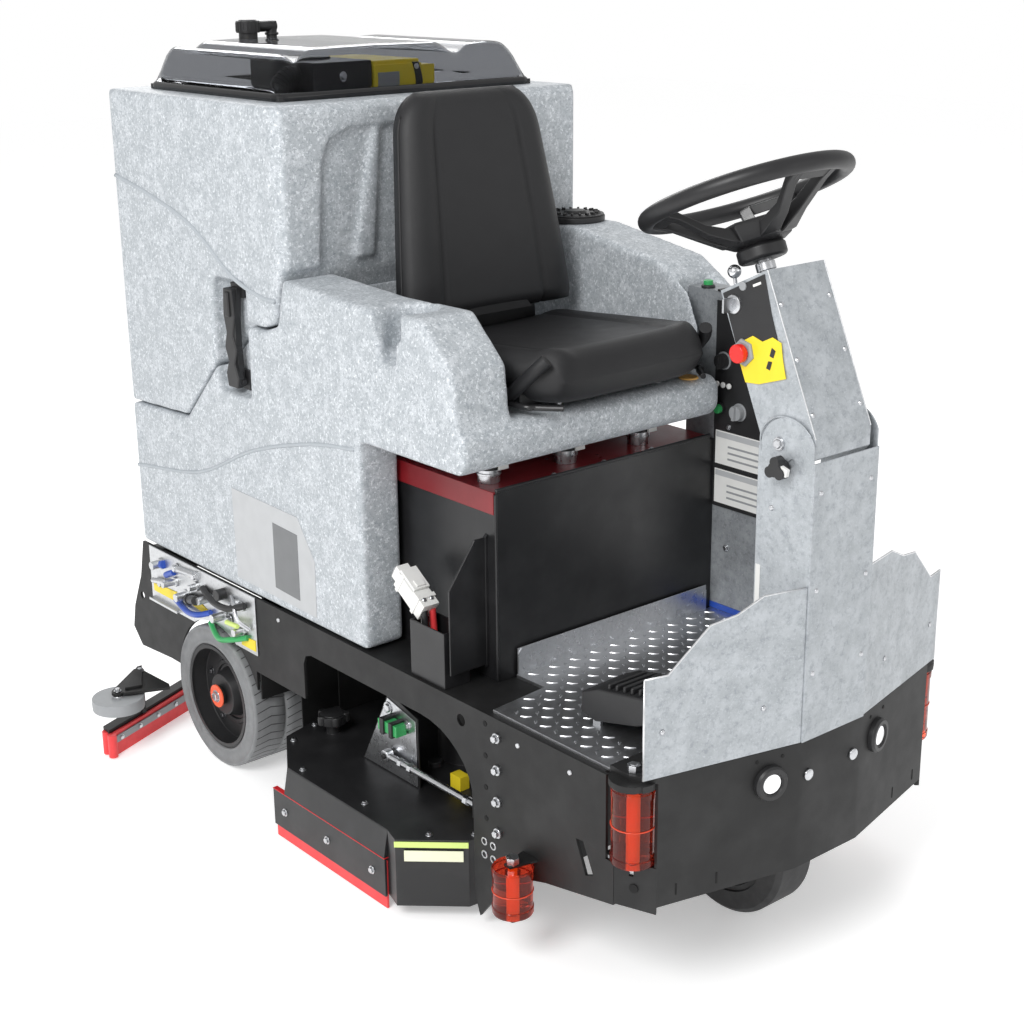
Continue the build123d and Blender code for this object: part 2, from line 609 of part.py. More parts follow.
def solution_tank():
    """The lower tank: two legs beside the battery box, the seat deck and the two armrests."""
    low = [(TANK_REAR, TANK_BOTTOM), (TANK_REAR, 741), (-611, 753), (-484, 880), (-440, DECK_TOP),
           (280, DECK_TOP), (DECK_FRONT, 890), (DECK_FRONT, 846), (284, DECK_BOTTOM),
           (0, DECK_BOTTOM), (0, TANK_BOTTOM)]
    tank = side_slab(low, -TANK_HALF, TANK_HALF)
    shoulder = [(-484, 880), (-357, 981), (-300, 981), (-249, 998), (-240, 1040)]
    right = shoulder + [(-227, 1086), (0, 1075), (188, 1078), (270, 1000), (284, 880)]
    left = shoulder + [(-227, 1086), (-227, LEFT_ARM_TOP), (-93, LEFT_ARM_TOP), (140, 1096), (215, 1050),
                       (LEFT_ARM_FRONT, 985), (LEFT_ARM_FRONT, 880)]
    tank += side_slab(right, SEAT_HALF, TANK_HALF) + side_slab(left, -TANK_HALF, -SEAT_HALF)
    tank += side_slab(shoulder + [(-235, 1060), (-228, 880)], -SEAT_HALF, SEAT_HALF)
    tank -= block(-BOX_HALF - 10, BOX_HALF + 10, BOX_REAR - 12, 400, TANK_BOTTOM - 5, DECK_BOTTOM)
    tank -= block(-TANK_HALF - 1, -247, LEFT_ARM_FRONT, 400, 700, 1100)
    tank -= block(TOWER_OUT - 1, -247, TOWER_REAR - 2, 400, 700, 1200)
    tank -= rod(CUP_R, 1000, 1200, at=(CUP_X, CUP_Y))
    tank -= block(CUP_X + 20, 370, 52, 131, 1030, 1200) + block(CUP_X + 20, 370, 70, 114, 985, 1200)
    for side in (1, -1):
        low_x, high_x = sorted((side * 331, side * 370))
        tank -= block(low_x, high_x, LATCH_REAR, LATCH_FRONT, LATCH_LOW, LATCH_HIGH)
    hollow = [(TANK_REAR + WALL, TANK_BOTTOM + WALL), (TANK_REAR + WALL, 733), (-614, 745),
              (-560, 790), (-560, TANK_BOTTOM + WALL)]
    tank -= side_slab(hollow, WALL - TANK_HALF, TANK_HALF - WALL)
    tank -= block(-327, 327, -600, BOX_REAR - 20, TANK_BOTTOM + WALL, 790)
    for side in (1, -1):
        low_x, high_x = sorted((side * (BOX_HALF + 18), side * 327))
        tank -= block(low_x, high_x, BOX_REAR - 40, -WALL, TANK_BOTTOM + WALL, DECK_BOTTOM - 20)
    tank -= block(-327, 327, -330, 270, DECK_BOTTOM + WALL, DECK_TOP - WALL)
    tank -= block(-327, -BOX_HALF - 18, -340, -20, 700, 880)
    tank -= rod(22, 840, LEFT_ARM_TOP + 5, at=(CAP_X, CAP_Y))
    for x in (-209, 211):
        y, z = TANK_HINGE
        leaf = rod(8, x, x + 28, "X", TANK_HINGE) + block(x, x + 28, y + 1, TANK_REAR + 1, z, z + 50)
        tank += leaf - rod(4 + RUNNING, x - 1, x + 29, "X", TANK_HINGE)
    return tank


def recovery_tank():
    """The tall rear tank, open under the lid, sitting on the lower tank."""
    outline = [(TANK_REAR, TANK_TOP), (TANK_REAR, 745), (-612, 757), (-485, 884), (-358, 985),
               (-300, 985), (-254, 1001), (-244, 1044), (TALL_FRONT, 1090), (TALL_FRONT, TANK_TOP)]
    tank = side_slab(outline, -TANK_HALF, TANK_HALF)
    hollow = [(TANK_REAR + WALL, TANK_TOP - WALL), (TANK_REAR + WALL, 753), (-615, 766),
              (-500, 884), (-500, TANK_TOP - WALL)]
    tank -= side_slab(hollow, WALL - TANK_HALF, TANK_HALF - WALL)
    tank -= block(-322, 322, -510, -360, 1000, TANK_TOP - WALL)
    tank -= block(-TANK_HALF + WALL, TANK_HALF - WALL, -510, TALL_FRONT - WALL, 1098, TANK_TOP - WALL)
    tank -= block(-262, 262, -745, -575, TANK_TOP - 20, TANK_TOP + 5)
    for side in (1, -1):
        low_x, high_x = sorted((side * 331, side * 370))
        tank -= block(low_x, high_x, LATCH_REAR, LATCH_FRONT, LATCH_LOW, LATCH_HIGH)
    for x in (-199, 181):
        y, z = LID_HINGE
        knuckle = rod(5, x, x + 18, "X", LID_HINGE) + block(x, x + 18, y - 5, y + 5, z - 5.5, z)
        tank += knuckle - rod(2 + RUNNING, x - 1, x + 19, "X", LID_HINGE)
    return tank


def latch():
    """The right lever latch that ties the two tanks together."""
    lever = rod(8, -432, -400, "Y", (346, 862))
    lever += front_slab([(341, 862), (351, 862), (357, 940), (357, 985), (349, 1045), (339, 1045),
                         (344, 985), (344, 940)], -430, -402)
    return lever


def fill_cap():
    """The screw cap of the solution tank, with finger lugs."""
    cap = rod(60, LEFT_ARM_TOP + 0.5, LEFT_ARM_TOP + 12, at=(CAP_X, CAP_Y))
    cap += rod(50, LEFT_ARM_TOP + 12, LEFT_ARM_TOP + 16, at=(CAP_X, CAP_Y))
    cap += rod(21.9, LEFT_ARM_TOP - 30, LEFT_ARM_TOP + 1, at=(CAP_X, CAP_Y))
    return cap & block(-TANK_HALF, -220, -300, 0, 1000, 1200)


def seat_pan():
    """The steel pan and back bracket that carry the seat, bolted to the deck."""
    pan = block(-185, 185, -125, 235, DECK_TOP, 933)
    bracket = [(-107, DECK_TOP), (-113, 1004), (-117.5, 1060), (-126, 1060), (-122, 1004),
               (-125, DECK_TOP)]
    return pan + side_slab(bracket, -150, 150)


def seat_cushion():
    """The seat cushion's plain form, with a rolled front edge and cut front corners."""
    outline = [(-104, 934), (240, 934), (262, 914), (316, 914), (330, 934), (328, 990),
               (312, 1016), (250, 1012), (-40, 985), (-104, 988)]
    plan = both_sides([(168, 331), (218, 262), (218, -105)])
    return side_slab(outline, -218, 218) & top_slab(plan, 900, 1030)


def seat_back():
    """The backrest's plain form, narrower towards its rounded top."""
    side = [(-109, 1010), (-33, 1010), (-37, 1060), (-103, 1400), (-115, 1412), (-153, 1404), (-169, 1380)]
    front = both_sides([(100, 1413), (135, 1398), (155, 1352), (203, 1060), (203, 1004)])
    return side_slab(side, -230, 230) & front_slab(front, -240, 0)


def lid_dome():
    """The clear moulded lid: two lobes and a raised middle, thin-walled and open below."""
    front = [(295, 1404), (283, 1468), (262, 1478), (240, 1458), (205, 1484), (-100, 1484),
             (-140, 1460), (-168, 1478), (-258, 1478), (-295, 1404)]
    side = [(-764, 1404), (-722, 1490), (-346, 1490), (-302, 1404)]
    outer = front_slab(front, -764, -302) & side_slab(side, -300, 300)
    front = [(x * 0.984, z - 4.5) for x, z in front]
    side = [(-759, 1400), (-717, 1490), (-351, 1490), (-307, 1400)]
    inner = front_slab(front, -764, -302) & side_slab(side, -300, 300)
    return outer - inner


def lid_frame():
    """The black frame that the lid is sealed with, and the vent on the lid."""
    frame = block(-300, 300, -768, -296, TANK_TOP + 0.5, 1404)
    frame -= block(-268, 268, -748, -318, TANK_TOP - 1, 1410)
    for x in (-220, 160):
        y, z = LID_HINGE
        frame += rod(5, x, x + 20, "X", LID_HINGE) + rod(2, x, x + 39, "X", LID_HINGE)
        frame += block(x, x + 20, y, y + 7, z - 2, z + 2)
    return Compound(children=[frame, lid_vent()])


def lid_vent():
    """The capped vent on the lid, with its side elbow."""
    vent = rod(19, 1484, 1498, at=(108, -700)) + rod(24, 1497, 1520, at=(108, -700))
    vent += rod(11, 44, 96, "X", (-700, 1508))
    vent += rod(11, 1484, 1518, at=(52, -700))
    return vent


def vacuum_housing():
    """The suction motor's housing, under the lid."""
    housing = block(62, 196, -556, -338, TANK_TOP, 1456)
    housing += rod(40, TANK_TOP, 1462, at=(129, -450))
    return housing


def filter_box():
    """The filter box under the lid, with its strap."""
    return block(-52, 58, -556, -338, TANK_TOP, 1454)


def suction_hose():
    """The ribbed hose from the suction housing down into the tank, a quarter turn."""
    bend = 38.0
    face = Plane.YZ.offset(197) * Pos(-400, 1432) * Circle(19)
    turn = revolve(face, Axis((197, -400, 1432 - bend), (0, 1, 0)), 90)
    return turn


# Scrub deck ---------------------------------------------------------------------------------

DECK_OUTLINE = [(300, 298), (362, 294), (458, 205), (446, 165), (446, -160), (372, -277),
                (291, -300)]


def deck_shell():
    """The scrub deck's housing with its side skirts, and the two brush motors on top."""
    shell = top_slab(both_sides(DECK_OUTLINE), SKIRT_LOW, DECK_PLATE)
    inner = [(x - 5 if x > 0 else x, y * 0.985) for x, y in DECK_OUTLINE]
    shell -= top_slab(both_sides(inner), SKIRT_LOW - 1, DECK_PLATE - 5)
    for side in (1, -1):
        low, high = sorted((side * (SKIRT_X + 11.2), side * (SKIRT_X + 16)))
        shell += block(low, high, -200, 168, SKIRT_LOW, 104)
        low, high = sorted((side * (SKIRT_X + 5), side * (SKIRT_X + 16)))
        shell += block(low, high, -158, 165, 98.5, 104)
        shell += rod(56, DECK_PLATE - 1, 320, at=(side * 146, BRUSH_Y))
        shell -= rod(14 + RUNNING, 90, DECK_PLATE + 30, at=(side * BRUSH_X, BRUSH_Y))
        shell += rod(14, DECK_PLATE - 1, 183, at=(side * 289, -232))
        shell += rod(28, 182, 200, at=(side * 289, -232))
        ear = side_slab([(-100, DECK_PLATE - 1), (-10, 328), (78, 303), (80, DECK_PLATE - 1)],
                        EAR_X, EAR_X + 4)
        shell += ear if side > 0 else left_of(ear)
    shell += rod(9, EAR_X, LINK_X - 7.2, "X", (LINK_REAR, LINK_Z))
    shell += rod(LINK_PIN, EAR_X, LINK_X + 12, "X", (LINK_REAR, LINK_Z))
    return shell


def skirt_blades():
    """The red side blades that run along the floor."""
    right = block(SKIRT_X + 6.1, SKIRT_X + 11, -200, 165, 0, 98)
    return Compound(children=[right, left_of(right)])


def brush(side):
    """A disc brush: its block, spindle and bristle ring."""
    at = (side * BRUSH_X, BRUSH_Y)
    block_part = rod(BRUSH_R - 6, 60, 84, at=at) + rod(14, 80, DECK_PLATE + 10, at=at)
    bristles = rod(BRUSH_R, 0, 61, at=at) - rod(80, -1, 55, at=at)
    return block_part + bristles


def deck_link():
    """The adjustable link from the deck's bracket forwards, with a slotted front eye."""
    link = rod(6.5, LINK_REAR + 8, LINK_FRONT - 6, "Y", (LINK_X, LINK_Z))
    for y in (LINK_REAR, LINK_FRONT):
        link += rod(10, LINK_X - 7, LINK_X + 7, "X", (y, LINK_Z))
        link -= rod(LINK_PIN + RUNNING, LINK_X - 8, LINK_X + 8, "X", (y, LINK_Z))
    link -= rod(LINK_PIN + 0.3, LINK_X - 8, LINK_X + 8, "X", (LINK_FRONT, LINK_Z))
    link -= rod(LINK_PIN + 0.3, LINK_X - 8, LINK_X + 8, "X", (LINK_FRONT + 1.8, LINK_Z))
    return link


# Squeegee -----------------------------------------------------------------------------------

def squeegee_line(inset):
    """The swept plan line of the squeegee, from right tip to left tip, moved forwards."""
    tip_x, tip_y = SQUEEGEE_TIP
    bend_x, bend_y = SQUEEGEE_BEND
    half = [(tip_x, tip_y + inset), (bend_x, bend_y + inset), (140, SQUEEGEE_BACK + 34 + inset),
            (60, SQUEEGEE_BACK + inset)]
    return half + [(-x, y) for x, y in reversed(half)]


def squeegee_strip(ahead, behind, z0, z1):
    """A strip along the squeegee's line, between two offsets from it."""
    return top_slab(squeegee_line(ahead) + list(reversed(squeegee_line(behind))), z0, z1)


def squeegee_blades():
    """The front and rear rubber blades."""
    return Compound(children=[squeegee_strip(12, 4, 0, 54), squeegee_strip(-12, -20, 0, 54)])


def squeegee_frame():
    """The frame between the blades, its clamp strip, pivot plate and side wheel arms."""
    frame = squeegee_strip(3.5, -11.5, 10, 62)
    frame += squeegee_strip(-20.5, -24, 14, 62)
    frame += squeegee_strip(3.5, -24, 54.5, 62)
    frame += top_slab([(110, -905), (60, -840), (-60, -840), (-110, -905), (0, -960)], 56, 64)
    frame += rod(22, 58, 118, at=(0, SWING_Y))
    frame -= rod(10 + RUNNING, 60, 130, at=(0, SWING_Y))
    for side in (1, -1):
        x, y = side * SIDE_WHEEL[0], SIDE_WHEEL[1]
        post_x, post_y = side * WHEEL_POST[0], WHEEL_POST[1]
        arm = [(x + side * 8, y - 11), (x - side * 10, y + 17), (post_x - side * 6, post_y + 120),
               (post_x - side * 13, post_y + 104), (post_x - side * 6, post_y - 18),
               (post_x + side * 6, post_y - 18)]
        frame += top_slab(arm, 151, 157) + rod(13, 151, 157, at=(x, y))
        frame += rod(6, 58, 153, at=(post_x, post_y))
        frame += rod(6, 108, 160, at=(x, y))
    return frame


def side_wheel(side):
    """The flat grey wheel that guards the squeegee's end."""
    at = (side * SIDE_WHEEL[0], SIDE_WHEEL[1])
    return rod(55, 120, 146, at=at) - rod(6 + RUNNING, 110, 150, at=at)


def squeegee_arm():
    """The lift arm between the chassis and the squeegee's pivot."""
    arm = rod(8, -50, 50, "X", (LIFT_Y, LIFT_Z)) + rod(16, -33, 33, "X", (LIFT_Y, LIFT_Z))
    arm += side_slab([(LIFT_Y - 12, LIFT_Z + 10), (LIFT_Y + 10, LIFT_Z - 12), (SWING_Y + 30, 122),
                      (SWING_Y - 26, 122), (SWING_Y - 26, 134), (SWING_Y + 6, 136)], -28, 28)
    arm += rod(10, 64.5, 123, at=(0, SWING_Y))
    return arm


def drive_pedal():
    """The sprung drive pedal on the floor plate."""
    pedal = side_slab([(506, 438), (506, 470), (660, 512), (660, 500), (530, 450)], 160, 250)
    return pedal + rod(4, 153, 257, "X", (PEDAL_Y, PEDAL_Z))


def nodes():
    """Every node and its shape, in the modelling frame."""
    side = frame_side()
    tyre = rear_tyre()
    rim = rear_rim()
    lever = latch()
    front_roller = roller(CORNER_X, CORNER_CENTRE, 287, 420, ROLLER_R)
    side_roller = roller(400, 460, 110, 197, SIDE_ROLLER_R)
    return {
        "frame_side_right": side,
        "frame_side_left": left_of(side),
        "chassis_frame": chassis_frame(),
        "floor_plate": floor_plate(),
        "battery_box": battery_box(),
        "battery_pack": battery_pack(),
        "battery_flange": battery_flange(),
        "battery_connector": battery_connector(),
        "front_bumper": front_bumper(),
        "front_splash": front_splash(),
        "headlights": headlights(),
        "column_lower": column_lower(),
        "control_tower": control_tower(),
        "control_panel": control_panel(),
        "frame_bolts": frame_bolts(),
        "service_tray": service_tray(),
        "rear_tyre_right": tyre,
        "rear_rim_right": rim,
        "rear_tyre_left": left_of(tyre),
        "rear_rim_left": left_of(rim),
        "drive_fork": drive_fork(),
        "drive_wheel": drive_wheel(),
        "corner_roller_right": front_roller,
        "corner_roller_left": left_of(front_roller),
        "side_roller_right": side_roller,
        "side_roller_left": left_of(side_roller),
        "column_upper": column_upper(),
        "steering_shaft": steering_shaft(),
        "steering_wheel": steering_wheel(),
        "tilt_knob": tilt_knob(),
        "estop_button": estop_button(),
        "key_switch": key_switch(),
        "drive_lever": drive_lever(),
        "mode_knob": panel_knob(284, 925, 14),
        "speed_knob": panel_knob(326, 834, 14),
        "horn_button": horn_button(),
        "drive_pedal": drive_pedal(),
        "solution_tank": solution_tank(),
        "recovery_tank": recovery_tank(),
        "latch_right": lever,
        "latch_left": left_of(lever),
        "fill_cap": fill_cap(),
        "seat_pan": seat_pan(),
        "seat_cushion": seat_cushion(),
        "seat_back": seat_back(),
        "lid_dome": lid_dome(),
        "lid_frame": lid_frame(),
        "vacuum_housing": vacuum_housing(),
        "filter_box": filter_box(),
        "suction_hose": suction_hose(),
        "deck_shell": deck_shell(),
        "skirt_blades": skirt_blades(),
        "brush_right": brush(1),
        "brush_left": brush(-1),
        "deck_link": deck_link(),
    }


def squeegee_nodes():
    """The squeegee's nodes, in the modelling frame."""
    return {
        "squeegee_arm": squeegee_arm(),
        "squeegee_frame": squeegee_frame(),
        "squeegee_blades": squeegee_blades(),
        "squeegee_wheel_right": side_wheel(1),
        "squeegee_wheel_left": side_wheel(-1),
    }


def write_all():
    """Turns every node to face -Y about the footprint's middle and writes its file."""
    os.makedirs("parts", exist_ok=True)
    pieces = nodes()
    pieces.update(squeegee_nodes())
    for name, shape in pieces.items():
        placed = Rot(0, 0, 180) * Pos(0, -MIDDLE, 0) * shape
        placed.label = name
        export_step(placed, f"parts/{name}.step")


write_all()
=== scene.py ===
import math
import random

import bmesh
import bpy
from mathutils import Matrix, Vector


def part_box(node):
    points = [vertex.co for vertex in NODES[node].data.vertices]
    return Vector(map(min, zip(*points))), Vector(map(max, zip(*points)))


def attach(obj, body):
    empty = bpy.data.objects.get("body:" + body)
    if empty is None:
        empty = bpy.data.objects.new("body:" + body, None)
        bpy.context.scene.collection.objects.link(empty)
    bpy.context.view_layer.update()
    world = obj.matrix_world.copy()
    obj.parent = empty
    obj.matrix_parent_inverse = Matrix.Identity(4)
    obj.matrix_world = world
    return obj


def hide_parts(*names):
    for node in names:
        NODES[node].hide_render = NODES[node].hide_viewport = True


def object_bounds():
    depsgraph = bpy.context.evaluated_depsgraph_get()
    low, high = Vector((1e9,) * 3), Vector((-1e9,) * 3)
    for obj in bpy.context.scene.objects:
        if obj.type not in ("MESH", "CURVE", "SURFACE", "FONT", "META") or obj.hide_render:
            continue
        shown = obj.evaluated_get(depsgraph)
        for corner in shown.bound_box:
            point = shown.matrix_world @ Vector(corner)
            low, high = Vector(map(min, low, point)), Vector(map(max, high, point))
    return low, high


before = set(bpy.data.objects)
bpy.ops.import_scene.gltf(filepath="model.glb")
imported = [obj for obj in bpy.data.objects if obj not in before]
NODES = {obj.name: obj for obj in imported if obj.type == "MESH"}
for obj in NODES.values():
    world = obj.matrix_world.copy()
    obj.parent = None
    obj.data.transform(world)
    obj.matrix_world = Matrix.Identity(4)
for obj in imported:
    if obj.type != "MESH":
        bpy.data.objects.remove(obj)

# Ride-on floor scrubber. Helpers take millimetres as (right, front, up) from the lower tank's
# front face, as the part's own source does, and turn them into the row frame.
MM = 0.001
CAD_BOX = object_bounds()
TANK_REAR = -840.0
FRONT_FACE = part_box("recovery_tank")[1].y + TANK_REAR * MM
SIDES = ((1, "right"), (-1, "left"))
OUTWARD = {1: "x", -1: "-x"}


def at(right, front, up):
    """A point of the machine, in the row frame."""
    return Vector((-right * MM, FRONT_FACE - front * MM, up * MM))


def fill(node, **values):
    """Sets a node's inputs; an underscore in a name stands for a space."""
    for name, value in values.items():
        node.inputs[name.replace("_", " ")].default_value = value


# Camera, light and floor ---------------------------------------------------------------------

SKY_LIGHT = 0.68
FLOOR_REACH = 14.0
FLOOR_GAP = 0.0005


def look(yaw, pitch, roll):
    """A camera's rotation from its heading, its angle below the horizon and its roll."""
    ahead = Vector((math.sin(yaw) * math.cos(pitch), math.cos(yaw) * math.cos(pitch), -math.sin(pitch)))
    side = Vector((math.cos(yaw), -math.sin(yaw), 0))
    over = side.cross(ahead)
    right = math.cos(roll) * side + math.sin(roll) * over
    up = -math.sin(roll) * side + math.cos(roll) * over
    return Matrix((right, up, -ahead)).transposed().to_euler()


def make_camera():
    """The camera, at the place and heading that give the machine's view."""
    data = bpy.data.cameras.new("camera")
    data.sensor_width = 36.0
    data.lens = 60.49
    camera = bpy.data.objects.new("camera", data)
    camera.location = (-2.0331, -2.4993, 1.6654)
    heading, dip, roll = (math.radians(degrees) for degrees in (39.933, 18.315, -0.604))
    camera.rotation_euler = look(heading, dip, roll)
    bpy.context.scene.collection.objects.link(camera)
    bpy.context.scene.camera = camera


def area_light(name, place, target, size, power):
    """A round area light that faces its target."""
    data = bpy.data.lights.new(name, "AREA")
    data.shape = "DISK"
    data.size = size
    data.energy = power
    lamp = bpy.data.objects.new(name, data)
    lamp.location = place
    lamp.rotation_euler = (Vector(target) - Vector(place)).to_track_quat("-Z", "Y").to_euler()
    bpy.context.scene.collection.objects.link(lamp)


def make_studio():
    """White surroundings, three soft lights and a pale floor."""
    world = bpy.data.worlds.new("studio")
    world.use_nodes = True
    tree = world.node_tree
    sky = tree.nodes["Background"]
    fill(sky, Color=(1.0, 1.0, 1.0, 1))
    seen = tree.nodes.new("ShaderNodeLightPath").outputs["Is Camera Ray"]
    level = tree.nodes.new("ShaderNodeMapRange")
    fill(level, To_Min=SKY_LIGHT, To_Max=1.0)
    tree.links.new(seen, level.inputs["Value"])
    tree.links.new(level.outputs["Result"], sky.inputs["Strength"])
    bpy.context.scene.world = world
    bpy.context.scene.view_settings.view_transform = "Standard"
    area_light("key", (-3.4, -1.6, 3.4), (0, 0, 0.7), 2.0, 122)
    area_light("front", (1.2, -4.2, 2.2), (0, -0.3, 0.6), 2.0, 8)
    area_light("rim", (1.5, 3.0, 3.0), (0, 0.2, 1.0), 2.0, 45)
    floor_mesh = bpy.data.meshes.new("floor")
    low = CAD_BOX[0][2] - FLOOR_GAP
    corners = ((-1, -1), (1, -1), (1, 1), (-1, 1))
    floor_mesh.from_pydata([(x * FLOOR_REACH, y * FLOOR_REACH, low) for x, y in corners], [], [(0, 1, 2, 3)])
    floor = bpy.data.objects.new("floor", floor_mesh)
    floor_mesh.materials.append(floor_material())
    bpy.context.scene.collection.objects.link(floor)


# Materials -----------------------------------------------------------------------------------

class Finish:
    """A procedural material: its nodes are added by short calls."""

    def __init__(self, name, colour, rough, metal=0.0):
        self.mat = bpy.data.materials.new(name)
        self.mat.use_nodes = True
        self.tree = self.mat.node_tree
        self.shader = self.tree.nodes["Principled BSDF"]
        self.coords = self.add("ShaderNodeTexCoord").outputs["Object"]
        self.colour = None
        self.height = None
        self.base = tuple(colour) + (1,)
        self.set(Base_Color=self.base, Roughness=rough, Metallic=metal)

    def set(self, **values):
        fill(self.shader, **values)

    def add(self, kind, **values):
        node = self.tree.nodes.new(kind)
        fill(node, **values)
        return node

    def link(self, source, target):
        self.tree.links.new(source, target)

    def noise(self, scale, detail=3.0, rough=0.5, stretch=None):
        """Noise of that many features to the metre, from 0 to 1."""
        node = self.add("ShaderNodeTexNoise", Scale=scale, Detail=detail, Roughness=rough)
        source = self.coords
        if stretch:
            mapping = self.add("ShaderNodeMapping", Scale=stretch)
            self.link(self.coords, mapping.inputs["Vector"])
            source = mapping.outputs["Vector"]
        self.link(source, node.inputs["Vector"])
        return node.outputs["Fac"]

    def cells(self, scale):
        """Distance from the edges of random cells, that many to the metre."""
        node = self.add("ShaderNodeTexVoronoi", Scale=scale)
        node.feature = "DISTANCE_TO_EDGE"
        self.link(self.coords, node.inputs["Vector"])
        return node.outputs["Distance"]

    def ramp(self, source, low, high):
        """Stretches the part of a value between low and high to 0 to 1."""
        node = self.add("ShaderNodeMapRange", From_Min=low, From_Max=high)
        self.link(source, node.inputs["Value"])
        return node.outputs["Result"]

    def tint(self, source, colour, amount=1.0):
        """Mixes another colour over the base where source is 1."""
        mix = self.add("ShaderNodeMix")
        mix.data_type = "RGBA"
        scale = self.add("ShaderNodeMath")
        scale.operation = "MULTIPLY"
        scale.inputs[1].default_value = amount
        self.link(source, scale.inputs[0])
        self.link(scale.outputs[0], mix.inputs["Factor"])
        if self.colour:
            self.link(self.colour, mix.inputs["A"])
        else:
            mix.inputs["A"].default_value = self.base
        mix.inputs["B"].default_value = tuple(colour) + (1,)
        self.colour = mix.outputs["Result"]
        self.link(self.colour, self.shader.inputs["Base Color"])

    def bump(self, source, depth, strength=1.0):
        """Raises the surface by depth, in metres, where source is 1."""
        node = self.add("ShaderNodeBump", Distance=depth, Strength=strength)
        self.link(source, node.inputs["Height"])
        if self.height:
            self.link(self.height, node.inputs["Normal"])
        self.height = node.outputs["Normal"]
        self.link(self.height, self.shader.inputs["Normal"])

    def gloss(self, source, low, high):
        """Lets roughness run from low to high with source."""
        node = self.add("ShaderNodeMapRange", To_Min=low, To_Max=high)
        self.link(source, node.inputs["Value"])
        self.link(node.outputs["Result"], self.shader.inputs["Roughness"])


def floor_material():
    finish = Finish("studio_floor", (0.93, 0.93, 0.93), 0.9)
    finish.tint(finish.noise(2.0), (0.92, 0.92, 0.92), 0.3)
    finish.set(Emission_Color=(1, 1, 1, 1), Emission_Strength=0.36)
    return finish.mat


def granite():
    """Light grey rotomoulded plastic with pale and dark flecks."""
    finish = Finish("granite_plastic", (0.42, 0.45, 0.475), 0.46)
    finish.tint(finish.ramp(finish.noise(34, 5, 0.75), 0.47, 0.58), (0.56, 0.59, 0.62), 0.8)
    finish.tint(finish.ramp(finish.noise(130, 4, 0.8), 0.52, 0.58), (0.30, 0.33, 0.36), 0.75)
    finish.tint(finish.ramp(finish.noise(160, 3, 0.75, (1.0, 1.2, 0.9)), 0.56, 0.62), (0.74, 0.77, 0.80), 0.8)
    finish.tint(finish.ramp(finish.noise(380, 2, 0.6), 0.60, 0.66), (0.22, 0.25, 0.28), 0.6)
    finish.bump(finish.noise(420, 3, 0.6), 0.0004, 0.35)
    finish.gloss(finish.noise(90), 0.38, 0.55)
    return finish.mat


def hammered(name, base, pale, dark):
    """Speckled hammer-finish paint on sheet steel."""
    finish = Finish(name, base, 0.42, 0.25)
    finish.tint(finish.ramp(finish.noise(26, 5, 0.65), 0.38, 0.66), pale, 0.55)
    finish.tint(finish.ramp(finish.noise(95, 4, 0.75), 0.50, 0.66), dark, 0.45)
    finish.tint(finish.ramp(finish.noise(300, 3, 0.7), 0.56, 0.68), pale, 0.6)
    finish.bump(finish.noise(160, 3, 0.6), 0.0004, 0.3)
    finish.gloss(finish.noise(40), 0.32, 0.5)
    return finish.mat


def powder(name, base, rough):
    """Powder-coated steel, finely textured, a little worn and dusty."""
    finish = Finish(name, base, rough)
    pale = tuple(min(1.0, 1.8 * c + 0.03) for c in base)
    finish.tint(finish.ramp(finish.noise(9, 5, 0.6), 0.45, 0.75), pale, 0.35)
    finish.bump(finish.noise(900, 2, 0.5), 0.00015, 0.35)
    finish.gloss(finish.noise(30, 4), rough - 0.08, rough + 0.10)
    return finish.mat


def moulded(name, base, rough, grain=700):
    """Moulded plastic with a fine grain."""
    finish = Finish(name, base, rough)
    pale = tuple(min(1.0, 1.35 * c + 0.015) for c in base)
    finish.tint(finish.noise(30, 4), pale, 0.5)
    finish.bump(finish.noise(grain, 3, 0.6), 0.0002, 0.3)
    finish.gloss(finish.noise(50), rough - 0.06, rough + 0.08)
    return finish.mat


def vinyl():
    """Black seat vinyl with a fine leather grain."""
    finish = Finish("seat_vinyl", (0.008, 0.008, 0.009), 0.5)
    finish.tint(finish.noise(14, 5), (0.014, 0.014, 0.016), 0.5)
    finish.bump(finish.ramp(finish.cells(650), 0.0, 0.25), 0.0002, 0.5)
    finish.bump(finish.noise(240, 3), 0.0002, 0.3)
    finish.gloss(finish.noise(25), 0.42, 0.56)
    return finish.mat


def rubber(name, base, rough):
    """Rubber, dusty in patches."""
    finish = Finish(name, base, rough)
    dusty = tuple(min(1.0, 1.3 * c + 0.03) for c in base)
    finish.tint(finish.ramp(finish.noise(35, 5, 0.65), 0.4, 0.7), dusty, 0.5)
    finish.bump(finish.noise(500, 3), 0.0002, 0.35)
    return finish.mat


def metal(name, base, rough, grain=(1, 1, 1), scratch=140):
    """Bare metal with a brushed or rolled grain."""
    finish = Finish(name, base, rough, 1.0)
    streak = finish.noise(scratch, 5, 0.7, grain)
    dark = tuple(0.62 * c for c in base)
    finish.tint(finish.ramp(streak, 0.45, 0.75), dark, 0.5)
    finish.bump(streak, 0.0001, 0.25)
    finish.gloss(finish.noise(60, 4), max(0.04, rough - 0.1), rough + 0.12)
    return finish.mat


def clear(name, base, rough, ior):
    """Clear moulded plastic with faint marks."""
    finish = Finish(name, base, rough)
    finish.set(Transmission_Weight=1.0, IOR=ior)
    finish.gloss(finish.ramp(finish.noise(20, 5), 0.4, 0.9), rough, rough + 0.12)
    return finish.mat


